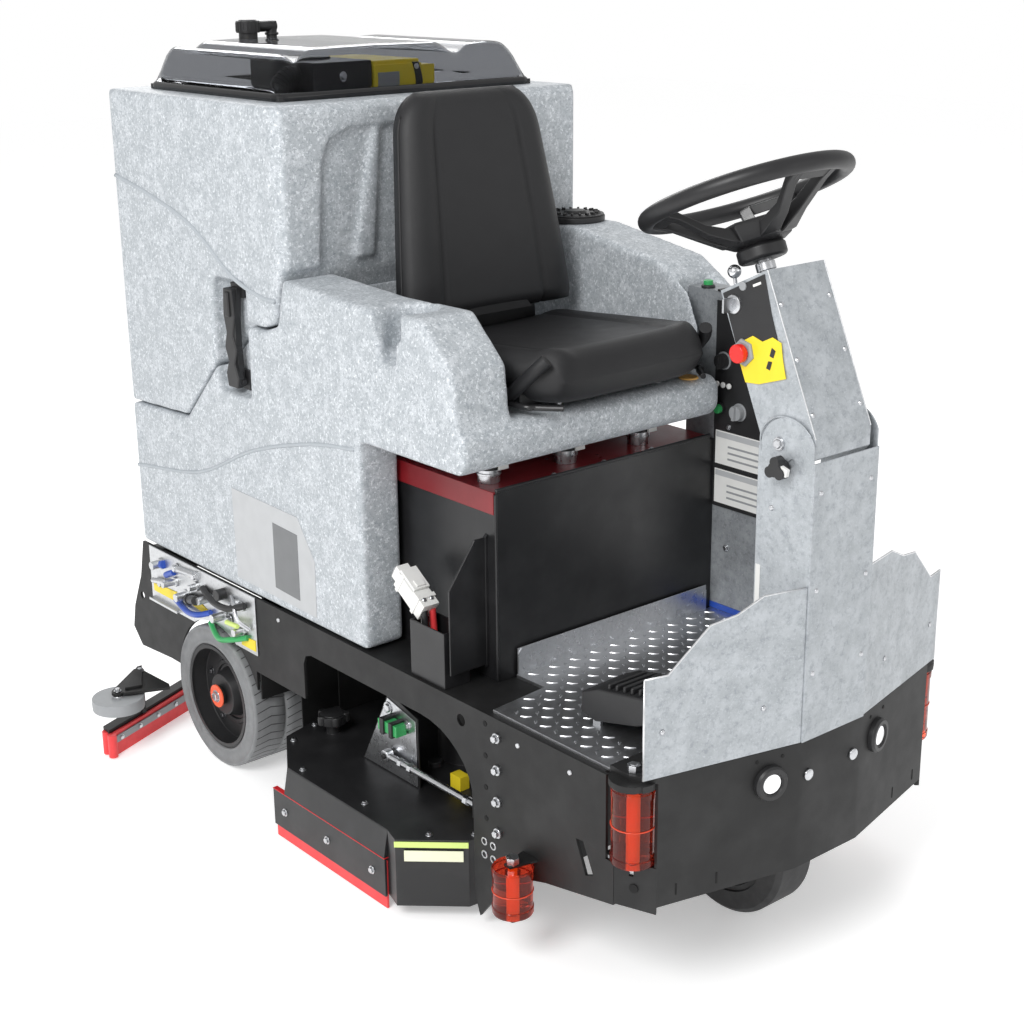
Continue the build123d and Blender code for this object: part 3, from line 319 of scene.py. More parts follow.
def urethane():
    """Red polyurethane, a little see-through."""
    finish = Finish("roller_urethane", (0.46, 0.035, 0.014), 0.05)
    finish.set(Transmission_Weight=0.9, IOR=1.3, Coat_Weight=0.2)
    finish.tint(finish.ramp(finish.noise(18, 3), 0.4, 0.7), (0.42, 0.06, 0.015), 0.4)
    finish.bump(finish.noise(120, 2), 0.0002, 0.2)
    return finish.mat


def make_materials():
    make = {
        "granite": granite(),
        "splash": hammered("splash_paint", (0.37, 0.395, 0.415), (0.56, 0.59, 0.62), (0.20, 0.22, 0.25)),
        "column": hammered("column_paint", (0.26, 0.275, 0.29), (0.42, 0.44, 0.46), (0.13, 0.14, 0.15)),
        # Darker than the tank plastic: painted shade along the moulded lines.
        "painted_shade_line": moulded("painted_shade_line", (0.36, 0.39, 0.415), 0.5),
        "powder": powder("frame_powder", (0.0045, 0.0045, 0.0047), 0.56),
        "box": powder("box_satin", (0.010, 0.010, 0.011), 0.34),
        "deck": powder("deck_satin", (0.013, 0.013, 0.014), 0.38),
        "flange": powder("flange_red", (0.20, 0.008, 0.012), 0.30),
        "plastic": moulded("black_plastic", (0.014, 0.014, 0.015), 0.42),
        "wheel_plastic": moulded("wheel_plastic", (0.008, 0.008, 0.009), 0.42, 1200),
        "grey_plastic": moulded("grey_plastic", (0.28, 0.29, 0.30), 0.45),
        "white_plastic": moulded("white_plastic", (0.72, 0.72, 0.70), 0.38),
        "yellow": moulded("yellow_plastic", (0.80, 0.60, 0.02), 0.40),
        "green": moulded("green_plastic", (0.03, 0.32, 0.09), 0.32),
        "blue": moulded("blue_plastic", (0.02, 0.07, 0.38), 0.32),
        "lime": moulded("lime_plastic", (0.62, 0.80, 0.22), 0.42),
        "cream": moulded("cream_plastic", (0.78, 0.80, 0.58), 0.42),
        "amber": moulded("amber_plastic", (0.75, 0.42, 0.12), 0.40),
        "red_gloss": moulded("red_gloss", (0.70, 0.015, 0.012), 0.22),
        "red_rubber": rubber("red_rubber", (0.78, 0.045, 0.050), 0.45),
        "red_paint": powder("red_paint", (0.55, 0.015, 0.02), 0.34),
        "grey_tyre": rubber("grey_tyre", (0.20, 0.205, 0.21), 0.62),
        "black_tyre": rubber("black_tyre", (0.022, 0.022, 0.023), 0.6),
        "bristle": rubber("bristle_nylon", (0.022, 0.022, 0.024), 0.5),
        "vinyl": vinyl(),
        "steel": metal("zinc_steel", (0.62, 0.63, 0.65), 0.28),
        "dark_steel": metal("dark_steel", (0.20, 0.20, 0.21), 0.35),
        "chrome": metal("chrome", (0.82, 0.83, 0.85), 0.08),
        "tread": metal("tread_aluminium", (0.72, 0.73, 0.75), 0.34, (1, 6, 1), 60),
        "tray": metal("tray_sheet", (0.66, 0.67, 0.68), 0.4),
        "urethane": urethane(),
        "lid": clear("lid_smoke", (0.50, 0.51, 0.53), 0.03, 1.14),
        "lens": moulded("lamp_lens", (0.92, 0.93, 0.95), 0.12),
        "urethane_rim": moulded("urethane_rim", (0.60, 0.05, 0.015), 0.25),
        # Glowing orange: a painted highlight down the middle of each roller, not a lamp.
        "painted_highlight_core": moulded("painted_highlight_core", (0.95, 0.22, 0.03), 0.3),
        "hub_ring": moulded("hub_ring", (0.85, 0.12, 0.05), 0.3),
        # Near black on the grey tyre: painted shade in the tread grooves.
        "groove_shade": rubber("painted_groove_shade", (0.05, 0.05, 0.052), 0.8),
        "badge": moulded("panel_grey", (0.42, 0.43, 0.44), 0.40),
        "badge_dark": moulded("panel_dark", (0.14, 0.145, 0.15), 0.40),
        # Near black: painted shade standing in for the slits and holes.
        "hole_shade": moulded("painted_hole_shade", (0.003, 0.003, 0.003), 0.9),
        # Pale strips on the column and splash edges: a painted highlight along their bends.
        "edge_highlight": metal("painted_edge_highlight", (0.80, 0.81, 0.82), 0.35),
        "lid_black": moulded("lid_seal", (0.006, 0.006, 0.007), 0.14),
    }
    # The lenses glow as lamps; the roller core's orange glow is a painted highlight.
    for key, colour, strength in (("lens", (1, 1, 1, 1), 0.35), ("painted_highlight_core", (1.0, 0.30, 0.03, 1), 0.5)):
        fill(make[key].node_tree.nodes["Principled BSDF"], Emission_Color=colour, Emission_Strength=strength)
    return make


MAT = make_materials()


# CAD nodes: finish and softened edges ---------------------------------------------------------

def paint(node, key):
    """Gives every slot of a CAD node the named material."""
    data = NODES[node].data
    if not data.materials:
        data.materials.append(None)
    for index in range(len(data.materials)):
        data.materials[index] = MAT[key]


WELD_GAP = 0.00002
EDGE_ANGLE = math.radians(35)
FLAT_ANGLE = math.radians(1.0)


def round_edges(piece, width, segments):
    """Rounds the sharp edges of a piece with a modifier and evens its shading."""
    bevel = piece.modifiers.new("bevel", "BEVEL")
    bevel.width = width * MM
    bevel.segments = segments
    bevel.limit_method = "ANGLE"
    bevel.angle_limit = EDGE_ANGLE
    bevel.harden_normals = True
    piece.modifiers.new("normals", "WEIGHTED_NORMAL").keep_sharp = True


def soften(node, width, segments):
    """Welds a CAD node's mesh, joins its flat faces and rounds its edges."""
    piece = NODES[node]
    weld = piece.modifiers.new("weld", "WELD")
    weld.merge_threshold = WELD_GAP
    flat = piece.modifiers.new("flat", "DECIMATE")
    flat.decimate_type = "DISSOLVE"
    flat.angle_limit = FLAT_ANGLE
    round_edges(piece, width, segments)
    for polygon in piece.data.polygons:
        polygon.use_smooth = True


NODE_LOOKS = [
    ("powder", 1.0, "squeegee_frame"),
    ("powder", 1.2, "frame_side_right frame_side_left chassis_frame"),
    ("powder", 1.5, "front_bumper drive_fork squeegee_arm"),
    ("box", 1.0, "battery_box"),
    ("box", 2.0, "seat_pan"),
    ("deck", 1.5, "deck_shell"),
    ("flange", 1.2, "battery_flange"),
    ("tread", 0.8, "floor_plate"),
    ("tray", 0.8, "service_tray"),
    ("splash", 0.8, "front_splash column_lower"),
    ("splash", 1.2, "column_upper"),
    ("column", 1.5, "control_tower"),
    ("plastic", 0.0, "suction_hose"),
    ("plastic", 0.6, "control_panel"),
    ("plastic", 1.0, "headlights mode_knob"),
    ("plastic", 1.5, "rear_rim_right rear_rim_left latch_right latch_left lid_frame"),
    ("plastic", 2.0, "tilt_knob fill_cap"),
    ("plastic", 4.0, "battery_pack drive_pedal"),
    ("plastic", 6.0, "vacuum_housing"),
    ("white_plastic", 3.0, "battery_connector"),
    ("grey_plastic", 1.0, "speed_knob"),
    ("grey_plastic", 2.0, "squeegee_wheel_right squeegee_wheel_left"),
    ("yellow", 4.0, "filter_box"),
    ("green", 1.5, "horn_button"),
    ("red_gloss", 2.5, "estop_button"),
    ("steel", 0.6, "steering_shaft"),
    ("steel", 0.8, "frame_bolts key_switch deck_link"),
    ("chrome", 0.4, "drive_lever"),
    ("black_tyre", 3.0, "drive_wheel"),
    ("urethane", 1.0, "corner_roller_right corner_roller_left side_roller_right side_roller_left"),
    ("red_rubber", 0.8, "skirt_blades squeegee_blades"),
    ("bristle", 1.5, "brush_right brush_left"),
]


def dress_nodes():
    """Each CAD node's material and the width of its rounded edges, in millimetres."""
    for key, width, nodes in NODE_LOOKS:
        for node in nodes.split():
            paint(node, key)
            if width:
                soften(node, width, 3 if width > 3 else 2)


# Mesh pieces ----------------------------------------------------------------------------------

POINT = 0.01
ALONG = {"x": Vector((1, 0, 0)), "y": Vector((0, 1, 0)), "z": Vector((0, 0, 1))}


class Piece:
    """A mesh built from solids in machine millimetres, each with its own material."""

    def __init__(self, name, body, key):
        self.name = name
        self.body = body
        self.mesh = bmesh.new()
        self.keys = []
        self.turn = Matrix.Identity(4)
        self.use(key)

    def use(self, key):
        if key not in self.keys:
            self.keys.append(key)
        self.index = self.keys.index(key)
        return self

    def stand(self, place, *turns):
        """Places what follows: turned about x, y or z by degrees in order, then moved to place."""
        self.turn = Matrix.Translation(Vector(place))
        for axis, degrees in turns:
            self.turn = self.turn @ Matrix.Rotation(math.radians(degrees), 4, axis)
        return self

    def solid(self, points, faces):
        verts = [self.mesh.verts.new(at(*(self.turn @ Vector(point)))) for point in points]
        for face in faces:
            made = self.mesh.faces.new([verts[index] for index in face])
            made.material_index = self.index
            made.smooth = True
        return self

    def rings(self, rings, loop=False):
        """A skin over rings of points, closed at both ends or joined into a loop."""
        size = len(rings[0])
        count = len(rings)
        faces = []
        for row in range(count if loop else count - 1):
            low = row * size
            high = (row + 1) % count * size
            for step in range(size):
                after = (step + 1) % size
                faces.append((low + step, low + after, high + after, high + step))
        if not loop:
            faces.append(tuple(reversed(range(size))))
            faces.append(tuple(range((count - 1) * size, count * size)))
        return self.solid([point for ring in rings for point in ring], faces)

    def slab(self, outline, along, low, high):
        """An outline of the two other coordinates, in order, from low to high."""
        order = {"x": lambda a, b, c: (c, a, b), "y": lambda a, b, c: (a, c, b),
                 "z": lambda a, b, c: (a, b, c)}[along]
        return self.rings([[order(a, b, c) for a, b in outline] for c in (low, high)])

    def box(self, x0, x1, y0, y1, z0, z1):
        return self.slab([(x0, y0), (x1, y0), (x1, y1), (x0, y1)], "z", z0, z1)

    def lathe(self, profile, base=(0, 0, 0), along="z", segments=40, loop=False):
        """A (radius, distance) profile turned about the line from base."""
        axis = ALONG[along] if isinstance(along, str) else Vector(along).normalized()
        side = axis.orthogonal().normalized()
        other = axis.cross(side)
        rings = []
        for radius, far in profile:
            centre = Vector(base) + axis * far
            reach = max(radius, POINT)
            rings.append([centre + reach * (across * side + over * other)
                          for across, over, _ in around(segments)])
        return self.rings(rings, loop)

    def rod(self, radius, start, end, segments=24):
        """A plain bar between two points."""
        way = Vector(end) - Vector(start)
        return self.lathe([(radius, 0), (radius, way.length)], start, way, segments)

    def tube(self, path, radius, segments=12, smooth=6):
        """A round tube along a smooth line through the points."""
        line = curve_through([Vector(point) for point in path], smooth)
        rings = []
        side = (line[1] - line[0]).orthogonal().normalized()
        for index, point in enumerate(line):
            ahead = line[min(index + 1, len(line) - 1)] - line[max(index - 1, 0)]
            ahead.normalize()
            side = (side - ahead * side.dot(ahead)).normalized()
            other = ahead.cross(side)
            rings.append([point + radius * (across * side + over * other)
                          for across, over, _ in around(segments)])
        return self.rings(rings)

    def bolt(self, base, along, radius=6.0, high=5.0, washer=1.4, sides=6):
        """A hexagonal head on a washer, standing out from base."""
        axis = ALONG[along.strip("-")] * (-1 if along.startswith("-") else 1)
        rim = radius * 1.35
        self.lathe(hoop(0, rim, 0, washer), base, axis, 24)
        top = Vector(base) + axis * washer
        profile = [(0, 0), (radius, 0), (radius, high * 0.8), (radius * 0.82, high), (0, high)]
        return self.lathe(profile, top, axis, sides)

    def done(self, bevel, segments=2):
        """Makes the object, rounds its edges by bevel millimetres and rides it on its body."""
        bmesh.ops.recalc_face_normals(self.mesh, faces=self.mesh.faces)
        data = bpy.data.meshes.new(self.name)
        self.mesh.to_mesh(data)
        self.mesh.free()
        for key in self.keys:
            data.materials.append(MAT[key])
        made = bpy.data.objects.new(self.name, data)
        bpy.context.scene.collection.objects.link(made)
        if bevel:
            round_edges(made, bevel, segments)
        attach(made, self.body)
        return made


def curve_through(points, steps):
    """Points along a smooth line through the given ones."""
    line = []
    last = len(points) - 1
    for index in range(last):
        before = points[max(index - 1, 0)]
        start, end = points[index], points[index + 1]
        after = points[min(index + 2, last)]
        for step in range(steps):
            t = step / steps
            line.append(0.5 * (2 * start + (end - before) * t
                               + (2 * before - 5 * start + 4 * end - after) * t * t
                               + (3 * start - before - 3 * end + after) * t ** 3))
    return line + [points[last]]


def on_side(side, points):
    """The same points on the machine's right (1) or left (-1)."""
    return [(side * point[0], *point[1:]) for point in points]


def between(side, inner, outer):
    """Two distances from the middle plane, as ascending positions on that side."""
    return sorted((side * inner, side * outer))


def hoop(inner, outer, low, high):
    """The profile of a plain ring, or of a disc where inner is 0."""
    return [(inner, low), (outer, low), (outer, high), (inner, high)]


def around(count, radius=1.0, centre=(0, 0), lead=0.0):
    """Evenly spaced points of a circle, each with its angle."""
    for step in range(count):
        angle = math.tau * (step + lead) / count
        yield centre[0] + radius * math.cos(angle), centre[1] + radius * math.sin(angle), angle


# Tanks ----------------------------------------------------------------------------------------

TANK_VOXEL = 4.6
CAP_PLACE = (-300, -160)
FLANK = 360.6


def tank_form(name, node, ridges=None):
    """The CAD tank with its raised moulded lines, given the soft edges of rotational moulding."""
    form = Piece(name, "tanks", "granite")
    source = NODES[node]
    form.mesh.from_mesh(source.data)
    form.mesh.transform(source.matrix_world)
    bmesh.ops.remove_doubles(form.mesh, verts=form.mesh.verts, dist=WELD_GAP)
    if ridges:
        ridges(form)
    made = form.done(0)
    skin = made.modifiers.new("skin", "REMESH")
    skin.mode = "VOXEL"
    skin.voxel_size = TANK_VOXEL * MM
    skin.use_smooth_shade = True
    soft = made.modifiers.new("soft", "SMOOTH")
    soft.factor = 0.5
    soft.iterations = 24
    flat = made.modifiers.new("flat", "DECIMATE")
    flat.decimate_type = "COLLAPSE"
    flat.ratio = 0.3
    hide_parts(node)


def upper_ridges(form):
    """The frame of the recess behind the seat."""
    for side in (1, -1):
        form.slab(on_side(side, [(350, 1100), (352, 1388), (200, 1388), (205, 1345), (246, 1330), (262, 1290),
                                 (276, 1100)]), "y", -236, -218)
        form.slab(on_side(side, [(196, 1108), (150, 1108), (128, 1345), (140, 1352)]), "y", -236, -222)
    form.box(-215, 215, -236, -218, 1348, 1388)


def moulded_lines():
    """The sweeping line on each side of the upper tank and the wave along the lower one, as raised tubes in a
    darker grey that is painted shade along the moulded step.
    """
    lines = Piece("moulded_lines", "tanks", "painted_shade_line")
    for side in (1, -1):
        edge = side * FLANK
        lines.tube([(edge, -832, 1221), (edge, -700, 1196), (edge, -541, 1152), (edge, -400, 1072),
                    (edge, -300, 1046), (edge, -250, 1044)], 4.2, 12, 8)
        lines.tube([(edge, -832, 602), (edge, -806, 607), (edge, -570, 645), (edge, -360, 735),
                    (edge, -156, 792), (edge, -14, 812)], 3.6, 12, 8)
    lines.done(0)


def dress_tanks():
    """The tanks' forms and side panel, the latches' fittings and levers, and the filler cap."""
    tank_form("solution_tank_form", "solution_tank")
    tank_form("recovery_tank_form", "recovery_tank", upper_ridges)
    moulded_lines()
    badge = Piece("side_panel", "tanks", "badge")
    badge.slab([(-443, 452), (-160, 447), (-158, 560), (-212, 636), (-447, 640)], "x", 360.4, 362.2)
    badge.use("badge_dark").slab([(-300, 470), (-214, 466), (-214, 600), (-300, 604)], "x", 361, 362.8)
    badge.done(0.5)
    for side, name in SIDES:
        pads = Piece("latch_fittings_" + name, "tanks", "plastic")
        pads.slab([(-440, 846), (-392, 846), (-392, 884), (-440, 884)], "x", *between(side, 330, 338))
        pads.rod(5, (side * 346, -436, 862), (side * 346, -396, 862))
        pads.slab([(-436, 1026), (-396, 1026), (-392, 1052), (-440, 1052)], "x", *between(side, 330, 340))
        pads.use("steel").bolt((side * 338, -416, 872), OUTWARD[side], 4, 3)
        pads.done(1.0)
        lever = Piece("latch_lever_" + name, "latch_" + name, "plastic")
        lever.slab([(-436, 1044), (-406, 1044), (-401, 990), (-410, 952), (-399, 926), (-409, 898),
                    (-397, 870), (-403, 850), (-436, 850), (-441, 876), (-430, 902), (-441, 928),
                    (-432, 958), (-440, 992)], "x", *between(side, 345, 360))
        lever.slab([(-428, 1038), (-414, 1038), (-412, 990), (-427, 990)], "x", *between(side, 359, 364))
        lever.done(3.0, 3)
    cap = Piece("fill_cap_rings", "fill_cap", "plastic")
    cap.lathe(hoop(52, 58, 12.2, 15), (*CAP_PLACE, 1133), loop=True)
    for x, y, angle in around(18, 44, CAP_PLACE):
        cap.stand((x, y, 1149), ("Z", math.degrees(angle))).box(-5, 5, -2, 2, 0, 4)
    cap.stand((*CAP_PLACE, 1149)).lathe([(0, 0), (24, 0), (20, 5), (0, 5)])
    cap.done(0.8)


# Seat -----------------------------------------------------------------------------------------

BACK_LOW = 1006
BACK_TALL = 404


def spread(low, high, count):
    """That many evenly spaced values, both ends included."""
    return [low + (high - low) * step / (count - 1) for step in range(count)]


def back_outline(rise):
    """The backrest's half width, how far into its rounded top, and its lean, at a part of its height."""
    top = max(0.0, (rise - 0.80) / 0.20)
    half = 203 - 48 * (rise ** 1.15)
    half *= math.sqrt(max(0.0, 1 - (0.72 * top) ** 2.6)) if top else 1.0
    return half, top, -36 - 68 * rise ** 1.1


def seat_back():
    """The backrest: a padded shell with side bolsters, piping and a seamed middle panel."""
    back = Piece("seat_back_pad", "tanks", "vinyl")
    across = spread(-1, 1, 61)
    rings = []
    for rise in spread(0, 1, 46):
        up = BACK_LOW + BACK_TALL * rise
        half, top, lean = back_outline(rise)
        thick = 66 - 12 * rise
        end = math.sqrt(max(0.02, 1 - top ** 6)) * math.sqrt(min(1.0, 0.30 + rise * 14))
        front = []
        rear = []
        for u in across:
            edge = math.sqrt(max(0.0, 1 - abs(u) ** 7))
            bolster = 9 * math.exp(-((abs(u) - 0.80) / 0.15) ** 2) * min(1.0, rise * 6) * (1 - top * 0.6)
            seam = 4.5 * math.exp(-((abs(u) - 0.60) / 0.018) ** 2) * (1 - top)
            face = lean - thick / 2 + (thick / 2) * edge * end + bolster * edge - seam - 7 * (1 - u * u)
            front.append((u * half, face - 3, up))
            rim = 3.0 * math.exp(-((abs(u) - 0.93) / 0.03) ** 2)
            square = math.sqrt(max(0.0, 1 - abs(u) ** 22))
            shell = lean - thick / 2 - (thick / 2) * square * end - 4 * (1 - u * u) + rim
            rear.append((u * half * 1.02, shell, up))
        rings.append(front + list(reversed(rear[1:-1])))
    back.rings(rings)
    pad = back.done(0)
    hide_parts("seat_back")
    piping = Piece("seat_back_piping", "tanks", "vinyl")
    for side in (1, -1):
        line = []
        for rise in spread(0.02, 0.90, 16):
            half, top, lean = back_outline(rise)
            up = BACK_LOW + BACK_TALL * rise
            line.append((side * (half - 1), lean - (66 - 12 * rise) * 0.55, up))
        piping.tube(line, 2.6, 8, 3)
    trim = piping.done(0)


def seat_cushion():
    """The cushion: dished between raised bolsters, with a rolled front edge."""
    cushion = Piece("seat_cushion_pad", "tanks", "vinyl")
    across = spread(-1, 1, 61)
    rings = []
    for run in spread(0, 1, 48):
        y = -104 + 434 * run
        half = 217 if run < 0.72 else 217 - 50 * ((run - 0.72) / 0.28) ** 2.2
        end = math.sqrt(max(0.05, 1 - (1 - 2 * run) ** 20))
        if run > 0.5:
            end = math.sqrt(max(0.004, 1 - (2 * run - 1) ** 14))
        low = 934 if run < 0.78 else 934 - 18 * min(1.0, (run - 0.78) / 0.07)
        top = 981 + 30 * run
        middle = (low + top) / 2
        tops = []
        bottoms = []
        for u in across:
            edge = max(0.0, 1 - abs(u) ** 9) ** 0.5
            bolster = 10 * math.exp(-((abs(u) - 0.83) / 0.12) ** 2) * (0.4 + 0.6 * run)
            roll = 7 * math.exp(-((run - 0.91) / 0.06) ** 2)
            seam = 4.5 * math.exp(-((abs(u) - 0.66) / 0.016) ** 2) * (1 if run < 0.84 else 0)
            cross = 4.0 * math.exp(-((run - 0.845) / 0.010) ** 2) * (1 if abs(u) < 0.66 else 0)
            dish = 9 * (1 - u * u) * (1 - 0.6 * run)
            z = middle + (top - middle) * edge * end + (bolster + roll) * edge * end - seam - cross - dish
            tops.append((u * half, y, z))
            bottoms.append((u * half * 0.985, y, middle - (middle - low) * edge * end))
        rings.append(tops + list(reversed(bottoms[1:-1])))
    cushion.rings(rings)
    pad = cushion.done(0)
    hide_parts("seat_cushion")
    bits = Piece("seat_fittings", "tanks", "box")
    bits.box(-188, 188, -120, 232, 925, 936)
    for side in (1, -1):
        bits.slab([(-60, 906), (200, 906), (212, 926), (-70, 926)], "x", *between(side, 186, 191))
        rail = [(168, 330, 921), (196, 292, 920), (214, 262, 921), (214, 60, 922)]
        bits.tube(on_side(side, rail), 5.5, 10, 5)
        bits.use("steel").bolt((side * 120, 262, 905.5), "z", 6, 5)
        bits.bolt((side * 191, 40, 915), OUTWARD[side], 5, 4).use("box")
    bits.use("vinyl")
    for side in (1, -1):
        strap = [(190, 312, 1004), (203, 296, 984), (209, 264, 955), (208, 236, 932)]
        bits.tube(on_side(side, strap), 12, 16)
    bits.use("plastic").slab([(-92, 1003), (92, 1003), (70, 1028), (-70, 1028)], "y", -112, -52)
    bits.done(1.2)
    plug = Piece("deck_plug", "tanks", "amber")
    plug.lathe([(0, 0), (19, 0), (17, 3), (0, 3.6)], (-186, 276, 905))
    plug.done(0.6)


# Steering -------------------------------------------------------------------------------------

WHEEL_CENTRE = (0, 571, 1287)
RAKE = 23.4


def steering_wheel():
    """A thick rim, open angular spokes, a faceted bowl and the boss below it."""
    wheel = Piece("steering_wheel_form", "steering", "wheel_plastic")
    wheel.stand(WHEEL_CENTRE, ("X", RAKE))
    section = [(radius, up) for radius, up, _ in around(20, 14.3, (161, 0))]
    wheel.lathe(section, segments=112, loop=True)
    for turn in (0, 120, 240):
        wheel.stand(WHEEL_CENTRE, ("X", RAKE), ("Z", turn))
        for side in (1, -1):
            bar = []
            for far, wide, low, high in ((150, 50, -13, 4), (126, 46, -24, -6), (84, 32, -56, -34),
                                         (50, 38, -76, -50), (30, 30, -80, -54)):
                inner = wide - (20 if far > 60 else 34)
                bar.append(on_side(side, [(inner, far, low), (wide, far, low + 3), (wide, far, high - 3),
                                          (inner, far, high)]))
            wheel.rings(bar)
        wheel.rings([[(-40, far, low), (40, far, low), (40, far, high), (-40, far, high)]
                     for far, low, high in ((152, -11, 3), (134, -19, -3))])
    wheel.stand(WHEEL_CENTRE, ("X", RAKE), ("Z", 30))
    wheel.lathe([(0, -84), (40, -84), (54, -76), (66, -52), (62, -46), (50, -46), (40, -60), (0, -62)],
                segments=6)
    wheel.lathe([(0, -108), (36, -108), (40, -104), (40, -88), (34, -82), (0, -82)])
    wheel.lathe([(0, -62), (24, -62), (22, -56), (0, -55)], segments=32)
    form = wheel.done(1.6, 3)
    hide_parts("steering_wheel")


def column_details():
    """What is fixed to the tilting column: side panel, plates, rivets and seams, with pale strips along the
    upper column's front edges that are a painted highlight on its bends.
    """
    side = Piece("column_side_panel", "column_upper", "plastic")
    side.slab([(598, 1143), (682, 1184), (700, 1122), (716, 1080), (668, 1046), (644, 1028)], "x", 73.4, 75.0)
    side.use("yellow").slab([(633, 1052), (646, 1076), (664, 1086), (684, 1080), (704, 1090), (722, 1084),
                             (726, 1060), (734, 1030), (680, 1012), (652, 1010)], "x", 75.0, 76.2)
    side.use("grey_plastic").lathe([(0, 0), (22, 0), (22, 5), (19, 7), (0, 7)], (74, 647, 1057), "x", 6)
    side.use("plastic").slab([(694, 1040), (698, 1052), (706, 1052), (702, 1038)], "x", 76.2, 77.0)
    side.slab([(700, 1060), (704, 1074), (712, 1070), (708, 1058)], "x", 76.2, 77.0)
    side.use("steel").lathe([(0, 0), (15, 0), (15, 3), (11, 5), (0, 5)], (74.6, 622, 1129), "x", 32)
    side.use("grey_plastic").lathe([(0, 0), (7, 0), (7, 2.5), (0, 3)], (74.6, 640, 1160), "x", 24)
    side.use("white_plastic").slab([(612, 1136), (620, 1140), (622, 1134), (614, 1130)], "x", 75.0, 75.8)
    side.slab([(660, 1165), (676, 1172), (677, 1168), (661, 1161)], "x", 75.0, 75.8)
    side.done(0.4)
    front = Piece("column_rivets_and_highlights", "column_upper", "edge_highlight")
    # Pale strips along both front edges: a painted highlight on the bends.
    for edge in (73.2, -56.8):
        front.rod(1.1, (edge, 796, 946), (edge, 687.2, 1190.6))
    front.use("steel")
    for edge in (-48, 64):
        for up in (980, 1060, 1140):
            y = 796 - (up - 945) * 109 / 246
            front.stand((edge, y - 0.3, up), ("X", 23.9))
            front.lathe([(0, 0), (4.5, 0), (3, 2.2), (0, 2.8)], along="y", segments=16)
    front.done(0.2)
    low = Piece("lower_column_trim", "chassis", "splash")
    brow = ((690, 909), (689, 935), (700, 955), (720, 968), (745, 971), (770, 965), (790, 950))
    low.tube([(77.2, y, up) for y, up in brow], 1.3, 8, 5)
    low.use("steel")
    for edge in (-60, 60):
        for up in (560, 700, 860):
            low.lathe([(0, 0), (4.5, 0), (3, 2.2), (0, 2.6)], (edge, 800, up), "y", 16)
    low.bolt((77, 727, 927), "x", 8, 5, 2)
    low.lathe([(0, 0), (5, 0), (3.5, 2), (0, 2.4)], (77, 716, 820), "x", 16)
    low.use("white_plastic").box(77, 77.8, 688, 698, 640, 720)
    low.done(0.3)
    knob = Piece("tilt_knob_tab", "tilt_knob", "white_plastic")
    knob.slab([(744, 902), (764, 896), (762, 884), (744, 886)], "x", 92, 100)
    knob.done(0.8)


def tower_details():
    """The control panel's lamps, label plates and screws, and the tower's base."""
    panel = Piece("tower_panel_fittings", "chassis", "grey_plastic")
    for y, up in ((284, 925), (326, 834)):
        panel.lathe(hoop(0, 17, 0, 2), (-272, y, up), "x", 32)
    panel.use("green").lathe([(0, 0), (9, 0), (8, 9), (0, 10)], (-266, 281, 834), "x", 24)
    panel.use("white_plastic")
    for step in range(3):
        panel.lathe([(0, 0), (5.5, 0), (5, 3), (0, 4)], (-268, 272 + 15 * step, 880), "x", 20)
    panel.box(-272, -271, 268, 392, 725, 790).box(-272, -271, 268, 392, 648, 715)
    panel.use("badge").box(-271.2, -270.6, 270, 390, 777, 788).box(-271.2, -270.6, 270, 390, 702, 713)
    panel.use("grey_plastic")
    for row in range(3):
        panel.box(-271.2, -270.6, 300, 384, 736 + 12 * row, 740 + 12 * row)
        panel.box(-271.2, -270.6, 300, 384, 660 + 12 * row, 664 + 12 * row)
    panel.use("steel").bolt((-272, 300, 800), "x", 4, 3).bolt((-275, 380, 600), "x", 5, 3)
    panel.bolt((-275, 220, 620), "x", 5, 3).bolt((-275, 300, 560), "x", 5, 3)
    panel.use("blue").box(-275, -273, 262, 398, 430, 442)
    panel.use("plastic").box(-300, -272, 262, 296, 1052, 1056)
    panel.lathe([(0, 0), (13, 0), (13, 4), (11, 6), (0, 6)], (-286, 225, 1052), "z", 32)
    panel.done(0.5)


# Wheels and rollers ---------------------------------------------------------------------------

REAR_Y = -548
REAR_R = 155
DRIVE_Y = 557
DRIVE_R = 140


